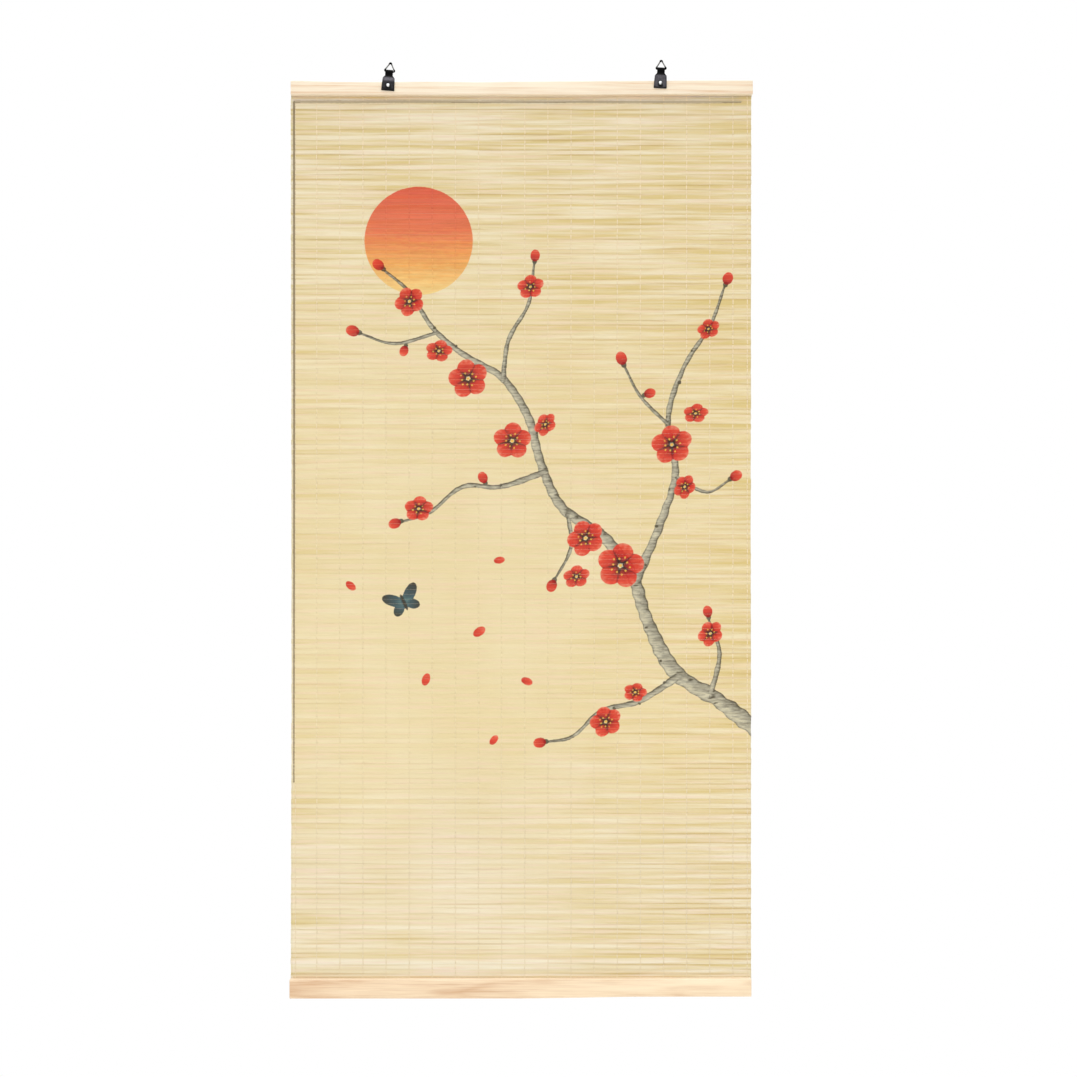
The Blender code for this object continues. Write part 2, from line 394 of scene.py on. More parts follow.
def round_steps(count: int) -> Array:
    """Angles in radians, evenly spaced round a circle."""
    return np.linspace(0, math.tau, count, endpoint=False)


def arc(centre: Point, radius: float, start: float, end: float, steps: int) -> list[Point]:
    """Points round a centre.

    Args:
        centre: of the arc.
        radius: of the arc.
        start: first angle, in degrees.
        end: last angle, in degrees.
        steps: how many equal steps lie between them.

    Returns:
        The points in order, both ends included.
    """
    angles = np.radians(np.linspace(start, end, steps + 1))
    return [(centre[0] + radius * math.cos(a), centre[1] + radius * math.sin(a)) for a in angles]


# The print: a blossom branch and a sun, laid out in millimetres on the mat


@dataclass(frozen=True)
class Stroke:
    """A brush stroke through a few points, each with half the brush's width there."""

    layer: Layer
    line: tuple[tuple[float, float, float], ...]
    rough: float = 0.0
    outline: float = 1.1
    steps: int = 6

    def path(self) -> Array:
        """The stroke's points (x, z, half width), rounded with a Catmull-Rom curve."""
        knots = np.array(self.line, float)
        padded = np.vstack([2 * knots[0] - knots[1], knots, 2 * knots[-1] - knots[-2]])
        share = np.linspace(0, 1, self.steps, endpoint=False)[:, None]
        made = []
        for before, start, end, after in zip(padded, padded[1:], padded[2:], padded[3:]):
            bend = 2 * before - 5 * start + 4 * end - after
            turn = 3 * (start - end) + after - before
            made.append(start + (share * (end - before) + share**2 * bend + share**3 * turn) / 2)
        return np.vstack([*made, knots[-1:]])

    def reach(self) -> tuple[Point, Point]:
        """Lowest and highest x and z that the stroke covers."""
        path = self.path()
        wide = path[:, 2].max()
        return path[:, :2].min(axis=0) - wide, path[:, :2].max(axis=0) + wide

    def ink(self, x: Array, z: Array) -> tuple[Array, Array]:
        """How deep inside the stroke each point lies, in millimetres, and its tone across the stroke."""
        path = self.path()
        start, step = path[:-1], np.diff(path, axis=0)
        away = np.stack([x, z], axis=1)[:, None, :] - start[None, :, :2]
        along = (away * step[:, :2]).sum(-1) / (step[:, :2] ** 2).sum(-1)
        along = np.clip(along, 0, 1)
        off = away - along[..., None] * step[:, :2]
        knobs = np.sin(x / 3.1 + z / 4.7) + np.sin(z / 2.3 - x / 6.1) + np.sin(x / 9.7 + z / 12.1)
        width = (start[:, 2] + along * step[:, 2]) * (1 + self.rough * knobs[:, None])
        depth = width - np.hypot(off[..., 0], off[..., 1])
        nearest = depth.argmax(axis=1)[:, None]
        side = np.sign(step[:, 0] * away[..., 1] - step[:, 1] * away[..., 0]) * (1 - depth / width)
        tone = 0.26 - 0.22 * side + 0.5 * np.exp(-((np.maximum(depth, 0) / self.outline) ** 2))
        return np.take_along_axis(depth, nearest, 1)[:, 0], np.take_along_axis(tone, nearest, 1)[:, 0]


@dataclass(frozen=True)
class Oval:
    """An oval whose tone runs along its axis, from its tail to its tip."""

    layer: Layer
    x: float
    z: float
    half_length: float
    half_width: float
    angle: float = 0.0
    tail_tone: float = 0.5
    tip_tone: float = 0.5

    def reach(self) -> tuple[Point, Point]:
        """Lowest and highest x and z that the oval covers."""
        middle, wide = np.array((self.x, self.z)), max(self.half_length, self.half_width)
        return middle - wide, middle + wide

    def ink(self, x: Array, z: Array) -> tuple[Array, Array]:
        """How deep inside the oval each point lies, in millimetres, and its tone along the axis."""
        along, across = turned(x - self.x, z - self.z, self.angle)
        ratio = np.hypot(along / self.half_length, across / self.half_width)
        slope = np.hypot(along / self.half_length**2, across / self.half_width**2)
        depth = ratio * (1 - ratio) / np.maximum(slope, 1e-6)
        depth = np.where(ratio < 0.05, min(self.half_length, self.half_width), depth)
        share = np.clip(0.5 + 0.5 * along / self.half_length, 0, 1)
        return depth, self.tail_tone + (self.tip_tone - self.tail_tone) * share


@dataclass(frozen=True)
class Blossom:
    """Five round petals about a dark throat and a gold heart."""

    x: float
    z: float
    radius: float
    angle: float
    squash: float = 1.0
    layer: Layer = Layer.BLOOM

    def reach(self) -> tuple[Point, Point]:
        """Lowest and highest x and z that the blossom covers."""
        middle = np.array((self.x, self.z))
        return middle - self.radius, middle + self.radius

    def ink(self, x: Array, z: Array) -> tuple[Array, Array]:
        """How deep inside the petals each point lies, in millimetres, and its tone from rim to heart."""
        petals, petal_centre, petal_radius = 5, 0.55, 0.45
        along, across = turned(x - self.x, z - self.z, self.angle)
        across = across / self.squash
        out = np.hypot(along, across) / self.radius
        part = math.tau / petals
        bearing = (np.arctan2(across, along) + part / 2) % part - part / 2
        off = np.hypot(out * np.cos(bearing) - petal_centre, out * np.sin(bearing))
        seam = out * np.sin(part / 2 - np.abs(bearing)) * self.radius
        tone = np.interp(out, (0.0, 0.16, 0.34, 0.62, 0.95), (1.0, 0.9, 0.62, 0.36, 0.1))
        tone = tone + 0.34 * np.exp(-((seam / 1.1) ** 2)) + 0.14 * bearing + 0.05 * np.sin(bearing * 23)
        return (petal_radius - off) * self.radius * self.squash, tone

    def pollen(self) -> list[Oval]:
        """The gold heart and the anthers that stand round it."""
        dot = 0.5 + 0.028 * self.radius
        made = [Oval(Layer.POLLEN, self.x, self.z, 1.5 * dot, 1.5 * dot * self.squash, self.angle)]
        count = 10 if self.radius > 17 else 7
        for number in range(count):
            bearing = math.tau * (number + 0.5) / count
            out = self.radius * (0.4 if number % 2 else 0.31)
            x, z = turned(out * math.cos(bearing), out * math.sin(bearing) * self.squash, -self.angle)
            angle = self.angle + math.degrees(bearing)
            made.append(Oval(Layer.POLLEN, self.x + x, self.z + z, dot, 0.85 * dot, angle))
        return made


@dataclass(frozen=True)
class Print:
    """The picture on the mat's front: shapes in their layers."""

    shapes: tuple[Stroke | Oval | Blossom, ...]
    far: float = 12.0

    def ink(self, x: Array, z: Array) -> dict[Layer, tuple[Array, Array]]:
        """Lays all shapes over points of the mat.

        Args:
            x: the points' x, in metres.
            z: the points' z, in metres.

        Returns:
            For each layer, how deep inside its ink each point lies, in millimetres (negative outside), and
            the tone.
        """
        x, z = x / MM, z / MM
        laid = {layer: (np.full(x.shape, -self.far), np.full(x.shape, 0.5)) for layer in Layer}
        for shape in self.shapes:
            low, high = shape.reach()
            near = (x > low[0] - self.far) & (x < high[0] + self.far)
            near &= (z > low[1] - self.far) & (z < high[1] + self.far)
            if not near.any():
                continue
            depth, tone = laid[shape.layer]
            new_depth, new_tone = shape.ink(x[near], z[near])
            over = (new_depth > 0) | (new_depth > depth[near])
            tone[near] = np.where(over, new_tone, tone[near])
            depth[near] = np.maximum(depth[near], new_depth)
        return laid

    def dress(self, obj: Thing) -> None:
        """Stores every layer on a mesh, as depth, tone and an unused zero."""
        points = points_of(obj)
        for layer, (depth, tone) in self.ink(points[:, 0], points[:, 2]).items():
            set_attribute(obj, layer.value, np.stack([depth, tone, np.zeros_like(depth)], axis=1))


# x, z and half width along each stroke of the branch, from its root to its tip
BRANCH_LINES = (
    ((264, -712, 9.5), (214, -672, 8.5), (168, -642, 7.8), (140, -592, 7.2), (120, -536, 6.6),
     (88, -494, 6.2), (46, -464, 5.4), (22, -418, 4.9), (8, -366, 4.4), (-20, -322, 3.8), (-60, -298, 3.2),
     (-96, -268, 2.7), (-122, -228, 2.1), (-152, -202, 1.4)),
    ((124, -544, 5.2), (150, -484, 4.4), (168, -424, 3.7), (160, -364, 3.1), (178, -308, 2.5),
     (206, -264, 1.9), (222, -220, 1.3)),
    ((26, -424, 3.6), (-22, -440, 2.7), (-64, -440, 2.3), (-100, -468, 1.8), (-130, -478, 1.2)),
    ((-20, -324, 2.9), (-14, -280, 2.3), (8, -240, 1.9), (14, -196, 1.3)),
    ((172, -646, 4.0), (128, -674, 3.1), (88, -684, 2.5), (56, -712, 1.8), (28, -718, 1.2)),
    ((-92, -272, 2.2), (-138, -284, 1.7), (-178, -272, 1.2)),
    ((160, -372, 2.2), (130, -342, 1.7), (112, -308, 1.2)),
    ((50, -466, 2.4), (54, -506, 1.9), (36, -542, 1.2)),
    ((170, -430, 2.0), (202, -446, 1.6), (228, -432, 1.2)),
    ((206, -668, 3.4), (216, -622, 2.2), (204, -584, 1.3)),
)

# x, z, radius, turn in degrees, and how far the flower is seen from its side
BLOSSOMS = (
    (60, -538, 15, 20, 0.8), (108, -526, 26, 8, 0.95), (70, -496, 21, 40, 0.9), (-10, -390, 21, 15, 0.95),
    (26, -372, 14, 50, 0.75), (-58, -322, 22, 30, 0.95), (-90, -292, 15, 5, 0.8), (164, -394, 23, 25, 0.9),
    (190, -360, 14, 10, 0.75), (178, -440, 14, 60, 0.8), (92, -696, 18, 35, 0.9), (124, -664, 13, 0, 0.8),
    (-112, -464, 16, 12, 0.85), (-122, -238, 17, 45, 0.9), (204, -268, 13, 30, 0.8), (10, -222, 15, 22, 0.85),
    (206, -600, 15, 48, 0.85),
)

# x, z and length of each bud, and the direction in degrees in which it points
BUDS = (
    (-156, -198, 7.0, 140), (-184, -270, 7.5, 165), (225, -213, 7.0, 70), (109, -300, 7.5, 110),
    (15, -188, 6.5, 85), (20, -719, 7.0, 190), (-138, -480, 7.0, 200), (33, -548, 7.0, 245),
    (-42, -430, 6.5, 115), (234, -428, 7.0, 30), (203, -576, 6.5, 100), (140, -338, 6.5, 20),
    (-128, -292, 6.0, 250),
)

# x, z, length and direction of each loose petal
LOOSE_PETALS = (
    (-46, -598, 7.5, 35), (6, -652, 6.5, -20), (-104, -650, 7.0, 70), (-24, -520, 6.0, 10),
    (-186, -548, 6.5, -40), (-30, -716, 6.0, 50),
)

# x, z and half width along the thin edging at the top, which is the paler one, and down the left
TOP_LINE = ((-246.0, -20.3, 1.5), (0.0, -20.4, 1.4), (219.0, -20.7, 1.2), (233.0, -20.5, 0.8),
            (243.0, -20.1, 0.2))
LEFT_LINE = ((-247.8, -20.5, 1.3), (-247.7, -400.0, 1.2), (-248.0, -762.0, 0.8))


def make_print() -> Print:
    """Lays out the blossom branch, the sun, a butterfly and the thin edging at the top and left."""
    shapes: list[Stroke | Oval | Blossom] = [Oval(Layer.SUN, -112, -172, 59, 59, -90, 0.0, 1.0)]
    shapes += [Stroke(Layer.BRANCH, line, rough=0.07) for line in BRANCH_LINES]
    shapes += make_moss()
    blossoms = [Blossom(*row) for row in BLOSSOMS]
    shapes += blossoms
    for blossom in blossoms:
        shapes += blossom.pollen()
    for x, z, length, angle in BUDS:
        back, down = turned(length, 0.0, -angle)
        shapes.append(Oval(Layer.BLOOM, x, z, length, 0.8 * length, angle, 0.75, 0.1))
        shapes.append(Oval(Layer.BRANCH, x - back, z - down, 0.45 * length, 0.4 * length, angle, 0.9, 0.9))
    for x, z, length, angle in LOOSE_PETALS:
        shapes.append(Oval(Layer.BLOOM, x, z, length, 0.62 * length, angle, 0.5, 0.1))
    shapes += make_butterfly(-128, -566, 25)
    shapes.append(Stroke(Layer.EDGING, TOP_LINE, outline=0.01))
    shapes.append(Stroke(Layer.EDGING, LEFT_LINE, outline=50.0))
    return Print(tuple(shapes))


def make_moss() -> list[Oval]:
    """Dark dabs along the thick stretches of the branch, as brush painters set them."""
    random = np.random.default_rng(5)
    made = []
    for line in BRANCH_LINES:
        path = Stroke(Layer.BRANCH, line).path()
        for (x, z, width), (next_x, next_z, _) in zip(path[2::4], path[3::4]):
            if width < 2.2 or random.uniform() < 0.25:
                continue
            bearing = math.atan2(next_z - z, next_x - x)
            side = random.choice((-1, 1)) * width * random.uniform(0.35, 0.85)
            size = random.uniform(0.9, 1.8)
            dab = (x - side * math.sin(bearing), z + side * math.cos(bearing))
            made.append(Oval(Layer.BRANCH, *dab, size * 1.35, size, random.uniform(0, 180), 1.0, 0.95))
    return made


def make_butterfly(x: float, z: float, lean: float) -> list[Oval]:
    """A small dark butterfly with its wings half open.

    Args:
        x: of its body's middle, in millimetres.
        z: of its body's middle, in millimetres.
        lean: the direction in which it flies, in degrees from straight up, to the left.

    Returns:
        Its two pairs of wings and its body.
    """
    up = 90 + lean
    made = []
    for side in (-1, 1):
        # how far out and up a wing's middle lies, its half length and width, and its way out from the body
        for out, rise, length, width, spread in ((10, 6.5, 12.5, 6.2, 40), (8, -5, 8.2, 5.4, -38)):
            wing_x, wing_z = turned(rise, -side * out, -up)
            angle = up - side * (90 - spread)
            made.append(Oval(Layer.WING, x + wing_x, z + wing_z, length, width, angle, 0.2, 1.0))
    made.append(Oval(Layer.WING, x, z, 9.5, 1.9, up, 1.0, 1.0))
    return made


@dataclass(frozen=True)
class Ink:
    """One ink of the print: its colours by tone, how much it hides, and how the brush varies it."""

    stops: tuple[tuple[float, str], ...]
    cover: float
    brushed: float = 0.5


INKS: dict[Layer, Ink] = {
    Layer.SUN: Ink(((0.0, "#D8432C"), (0.4, "#E26539"), (0.72, "#EBA24C"), (1.0, "#F1D083")), 0.9, 0.25),
    Layer.WING: Ink(((0.0, "#5E8A8C"), (0.5, "#1F4754"), (1.0, "#101416")), 0.94),
    Layer.BRANCH: Ink(((0.0, "#CDC7AC"), (0.3, "#9C998A"), (0.6, "#5A5A51"), (0.85, "#22231F")), 0.88, 1.1),
    Layer.BLOOM: Ink(((0.0, "#E87F66"), (0.2, "#DC402B"), (0.5, "#C8241B"), (0.75, "#861516"),
                      (1.0, "#380A0C")), 0.96),
    Layer.POLLEN: Ink(((0.0, "#F3CB5C"), (1.0, "#D99A2E")), 0.95),
    Layer.EDGING: Ink(((0.0, "#B6A78D"), (0.5, "#B6A78D"), (0.52, "#84755A"), (1.0, "#84755A")), 0.86, 0.0),
}


def add_print(tree: Tree, place: Socket, base: Node, front: Socket, shade: Node) -> Node:
    """Adds the print's inks over a bare surface.

    The ink is thin, so the grain's light and dark show through it, and it creeps a little along the fibres.

    Args:
        tree: the node tree that takes them.
        place: coordinates in metres.
        base: the bare surface's colour.
        front: 1 where the print's rollers reached, else 0.
        shade: a number about 1 that carries the grain's light and dark.

    Returns:
        The printed colour.
    """
    add = partial(add_node, tree)
    creep, soft = 1.1, 0.28
    fibres = add_grain(tree, place, (7.0, 3.0, 5.0), 3.5 * MM, 0.9 * MM)
    shift = add("Math", fibres, creep, -creep / 2, operation="MULTIPLY_ADD")
    brush = add_grain(tree, place, (1.0, 9.0, 4.0), 9 * MM, 2.2 * MM, 3.0)
    colour = base
    for layer, ink in INKS.items():
        split = add("SeparateXYZ", add("Attribute", attribute_name=layer.value).outputs["Vector"])
        depth = add("Math", split.outputs["X"], shift, operation="ADD")
        cover = add("MapRange", depth, -soft, soft, 0.0, ink.cover)
        shown = add("Math", cover, front, operation="MULTIPLY")
        stroke = add("Math", brush, ink.brushed, -ink.brushed / 2, operation="MULTIPLY_ADD")
        tone = add("Math", split.outputs["Y"], stroke, operation="ADD")
        ramp = add("ValToRGB", tone)
        set_stops(ramp, ink.stops)
        shaded = add("VectorMath", ramp, shade, operation="MULTIPLY")
        colour = add("Mix", shown, colour, shaded, data_type="RGBA")
    return colour


# Finishes


def add_liveliness(tree: Tree, place: Socket) -> Node:
    """Adds how strongly the grain, the joints and the threads show: least a little left of the middle.

    Args:
        tree: the node tree that takes it.
        place: coordinates in metres.

    Returns:
        From 0.16 in the calm middle to 1 in the corners.
    """
    middle, half_wide, half_tall = (-0.07, 0.0, -0.6), 0.19, 0.28
    away = add_node(tree, "VectorMath", place, middle, operation="SUBTRACT")
    spread = add_node(tree, "VectorMath", away, (1 / half_wide, 0.0, 1 / half_tall), operation="MULTIPLY")
    far = add_node(tree, "VectorMath", spread, operation="LENGTH")
    return add_node(tree, "MapRange", far, 0.4, 2.0, 0.16, 1.0)


def add_thinning(tree: Tree, place: Socket) -> Node:
    """Adds how far the print's ground coat has thinned out towards the bottom, unevenly along the mat.

    Args:
        tree: the node tree that takes it.
        place: coordinates in metres.

    Returns:
        0 over the picture, 1 near the bottom batten.
    """
    start, end, wander, cloud = -0.71, -0.85, 0.16, 120 * MM
    uneven = add_node(tree, "TexNoise", place, Scale=1 / cloud, Detail=3.0)
    height = add_node(tree, "SeparateXYZ", place).outputs["Z"]
    moved = add_node(tree, "Math", uneven, wander, height, operation="MULTIPLY_ADD")
    return add_node(tree, "MapRange", moved, start + wander / 2, end + wander / 2)


@dataclass(frozen=True)
class SplitBamboo:
    """Split bamboo, planed on both faces and left bare.

    It is matt and cream, with long soft streaks of pink and gold, and each slat is a little lighter or
    darker than the next. Here and there two slats' rims keep some of the golden outer wood, so that joint
    reads as a soft olive-gold line. All of this shows least a little left of the mat's middle. The slats
    are greyer and paler where the print's ground coat ends, left of its edging and towards the bottom
    batten, most on the last three. The strip above the edging is darkened and greyed as painted shade of the
    top batten, and right under the top batten's lip, on its left part, painted light makes the bamboo pale
    again. The lowest slat is darkened with painted shade where it meets the bottom batten's lip, and the
    slats' cut ends are a little grey from handling.

    The colours come first, then the casts that tint them, the patterns' lengths and widths, and the places
    where the casts begin and end. Each span is the range of a pattern and the range that it is turned into.
    """

    pale: str = "#ECDEB8"
    body: str = "#D9C384"
    blush: str = "#ECD2B2"
    golden: str = "#DCC27E"
    rim: str = "#C2A25C"
    uncoated: Rgba = (1.0, 1.045, 1.28, 1.0)
    footing: Rgba = (1.01, 1.065, 1.29, 1.0)
    # painted shade of the top batten, on the strip above the edging
    batten_shade_tint: Rgba = (0.915, 0.965, 1.24, 1.0)
    # painted light that lifts the shade right under the top batten's lip
    lifted_shade_tint: Rgba = (1.14, 1.12, 1.42, 1.0)
    # painted shade where the lowest slat meets the bottom batten's lip
    kerf_shade_tint: Rgba = (0.87, 0.83, 0.83, 1.0)
    handled: Rgba = (0.93, 0.98, 1.13, 1.0)
    roughness: float = 0.6
    shine: float = 0.22
    streak: Point = (58 * MM, 2.8 * MM)
    band: Point = (170 * MM, 6 * MM)
    line: Point = (130 * MM, 3.4 * MM)
    fibre: Point = (24 * MM, 0.28 * MM)
    patch: float = 110 * MM
    half_width: float = 2.72 * MM
    rim_width: float = 2.1 * MM
    banding: float = 3.1
    chance_share: float = 0.74
    clearing: float = 0.15
    ripening: Span = (0.28, 0.0, 0.0)
    tones: Span = (0.0, 0.75)
    blushing: Span = (0.48, 0.68, 0.0, 0.6)
    ripe: Span = (0.44, 0.72, 0.0, 0.56)
    joints: Span = (0.49, 0.67, 0.0, 0.64)
    fibre_shade: Span = (0.25, 0.75, 0.95, 1.05)
    ink_shade: Span = (0.3, 0.75, 1.08, 0.84)
    margin: Point = (-0.2478, -0.0206)
    margin_end: float = -0.77
    higher: Span = (-0.34, -0.04, 0.0, 0.5)
    foot: Span = (-0.9545, -0.96)
    # where that painted light lies: its heights, and its x towards the left
    cast_shade_zone: Span = (-0.0178, -0.0162)
    leftward: Span = (0.19, 0.12)
    # heights of that painted shade on the lowest slat
    kerf_shade_span: Span = (-0.9727, -0.9737)
    cut_ends: Span = (0.2486, 0.2498)

    def add_wood(self, tree: Tree, place: Socket, slat: Node, streaks: Node, flushes: Node) -> Node:
        """Adds the bamboo's own colour.

        Args:
            tree: the node tree that takes it.
            place: coordinates in metres.
            slat: across the slat from -1 to 1, and its chance.
            streaks: the grain that turns golden.
            flushes: the grain that turns pink.

        Returns:
            The colour, before weather and wear.
        """
        add = partial(add_node, tree)
        lively = add_liveliness(tree, place)
        bands = add_grain(tree, place, (6.0, 2.0, 9.0), *self.band)
        lines = add_grain(tree, place, (4.0, 8.0, 2.0), *self.line)
        clouds = add("TexNoise", place, Scale=1 / self.patch, Detail=2.0)
        patches = add("Math", clouds, 0.5, 0.24, operation="MULTIPLY_ADD")
        banding = add("Math", bands, 0.5, operation="SUBTRACT")
        stronger = add("Math", lively, self.banding, operation="MULTIPLY")
        swing = add("Math", banding, stronger, -0.5, operation="MULTIPLY_ADD")
        moved = add("Math", slat.outputs["Y"], self.chance_share, swing, operation="MULTIPLY_ADD")
        lightness = add("Math", moved, lively, patches, operation="MULTIPLY_ADD")
        foot = add("MapRange", add("SeparateXYZ", place).outputs["Z"], *self.foot)
        cleared = add("Math", foot, self.clearing, lightness, operation="MULTIPLY_ADD")
        tone = add("MapRange", cleared, *self.tones)
        pink = add("MapRange", flushes, *self.blushing)
        ripe = add("VectorMath", place, self.ripening, operation="DOT_PRODUCT")
        ripened = add("MapRange", add("Math", ripe, streaks, operation="ADD"), *self.ripe)
        gold = add("Math", ripened, lively, operation="MULTIPLY")
        across = add("Math", slat.outputs["X"], operation="ABSOLUTE")
        near_rim = add("MapRange", across, 1 - self.rim_width / self.half_width, 0.95,
                       interpolation_type="SMOOTHSTEP")
        uneven = add("MapRange", lines, *self.joints)
        clearer = add("Math", add_thinning(tree, place), 0.1, uneven, operation="MULTIPLY_ADD")
        olive = add("Math", near_rim, clearer, operation="MULTIPLY")
        rim = add("Math", olive, lively, operation="MULTIPLY")
        colour = add("Mix", tone, self.body, self.pale, data_type="RGBA")
        for amount, tint in ((pink, self.blush), (gold, self.golden), (rim, self.rim)):
            colour = add("Mix", amount, colour, tint, data_type="RGBA")
        return colour

    def add_cast(self, tree: Tree, place: Socket) -> Node:
        """Adds what the ground coat's edge, handling, and painted shade and light by the battens do to the
        colour.

        Args:
            tree: the node tree that takes it.
            place: coordinates in metres.

        Returns:
            The tint to multiply the colour with.
        """
        add = partial(add_node, tree)
        x, _, z = add("SeparateXYZ", place).outputs
        beyond = add("MapRange", x, self.margin[0] + 0.4 * MM, self.margin[0] - 0.4 * MM)
        beside = add("MapRange", z, self.margin_end - 10 * MM, self.margin_end)
        outside = add("Math", beyond, beside, operation="MULTIPLY")
        uncoated = add("Math", outside, 0.85, operation="MULTIPLY")
        thinned = add("Math", add_thinning(tree, place), 0.65, operation="MULTIPLY")
        faded = add("Math", add("MapRange", z, *self.higher), thinned, operation="MAXIMUM")
        bared = add("Math", uncoated, faded, operation="MAXIMUM")
        foot = add("MapRange", z, *self.foot)
        # painted shade of the top batten: the strip from the edging up to the batten is darkened and greyed
        over = add("MapRange", z, self.margin[1] - 0.4 * MM, self.margin[1] + 0.4 * MM)
        along = add("MapRange", x, -self.margin[0] - 5 * MM, -self.margin[0] - 14 * MM)
        above = add("Math", over, along, operation="MULTIPLY")
        # painted light right under the top batten's lip, on its left part, lifting the shade there
        painted_light_share = add("Math", add("MapRange", z, *self.cast_shade_zone), add("MapRange", x, *self.leftward),
                     operation="MULTIPLY")
        # painted shade on the lowest slat, where it meets the bottom batten's lip
        kerf_shade_share = add("MapRange", z, *self.kerf_shade_span)
        at_ends = add("MapRange", add("Math", x, operation="ABSOLUTE"), *self.cut_ends)
        cast: Rgba | Node = WHITE
        for amount, tint in ((bared, self.uncoated), (foot, self.footing), (above, self.batten_shade_tint),
                             (painted_light_share, self.lifted_shade_tint), (kerf_shade_share, self.kerf_shade_tint), (at_ends, self.handled)):
            cast = add("Mix", amount, cast, tint, data_type="RGBA")
        return cast

    def build(self) -> Material:
        """Makes the material, which reads the attribute "slat": across from -1 to 1, chance and front."""
        material, tree, place = new_material("split_bamboo_printed", Roughness=self.roughness,
                                             Specular_IOR_Level=self.shine)
        add = partial(add_node, tree)
        slat = add("SeparateXYZ", add("Attribute", attribute_name="slat").outputs["Vector"])
        seed = add("VectorMath", slat.outputs["Y"], (91.0, 37.0, 53.0), operation="MULTIPLY")
        other = add("VectorMath", seed, (11.0, 23.0, 5.0), operation="ADD")
        streaks = add_grain(tree, place, seed, *self.streak, 3.0)
        flushes = add_grain(tree, place, other, *self.streak, 2.0)
        fibres = add_grain(tree, place, seed, *self.fibre, 4.0)
        wood = self.add_wood(tree, place, slat, streaks, flushes)
        weathered = add("VectorMath", wood, self.add_cast(tree, place), operation="MULTIPLY")
        shade = add("MapRange", fibres, *self.fibre_shade)
        grained = add("VectorMath", weathered, shade, operation="MULTIPLY")
        through = add("MapRange", streaks, *self.ink_shade)
        printed = add_print(tree, place, grained, slat.outputs["Z"], through)
        coat(tree, printed, fibres, 0.35, 0.08 * MM)
        return material


@dataclass(frozen=True)
class CottonThread:
    """Cotton yarn of two plies, twisted.

    It is dull, and its twist shows close up as slanting furrows. It is a paler and pinker cream than the
    bamboo. The print's ground coat hides it in the calm middle of the mat. Where the coat thins out towards
    the bottom, the yarn is a little greyer.
    """

    light: str = "#F5E5C8"
    dark: str = "#E6D1A9"
    ground: str = "#E5D5A9"
    uncoated: str = "#E0D1B2"
    roughness: float = 0.9
    sheen: float = 0.15
    twist: float = 1.1 * MM
    fluff: float = 0.6 * MM
    ink_shade: Span = (0.3, 0.7, 0.9, 1.08)

    def build(self) -> Material:
        """Makes the material, which reads the attribute "slat": turn round the yarn, chance and front."""
        material, tree, place = new_material("cotton_thread_printed", Roughness=self.roughness,
                                             Sheen_Weight=self.sheen)
        add = partial(add_node, tree)
        slat = add("SeparateXYZ", add("Attribute", attribute_name="slat").outputs["Vector"])
        down = add("SeparateXYZ", place).outputs["Z"]
        turns = add("Math", down, math.tau / self.twist, slat.outputs["X"], operation="MULTIPLY_ADD")
        furrow = add("Math", turns, operation="SINE")
        fuzz = add("TexNoise", place, Scale=1 / self.fluff, Detail=3.0)
        tone = add("Math", furrow, 0.3, fuzz, operation="MULTIPLY_ADD")
        cotton = add("Mix", tone, self.dark, self.light, data_type="RGBA")
        coated = add("Mix", add_liveliness(tree, place), self.ground, cotton, data_type="RGBA")
        thinned = add("Math", add_thinning(tree, place), 0.8, operation="MULTIPLY")
        yarn = add("Mix", thinned, coated, self.uncoated, data_type="RGBA")
        through = add("MapRange", fuzz, *self.ink_shade)
        printed = add_print(tree, place, yarn, slat.outputs["Z"], through)
        coat(tree, printed, tone, 0.5, 0.1 * MM)
        return material


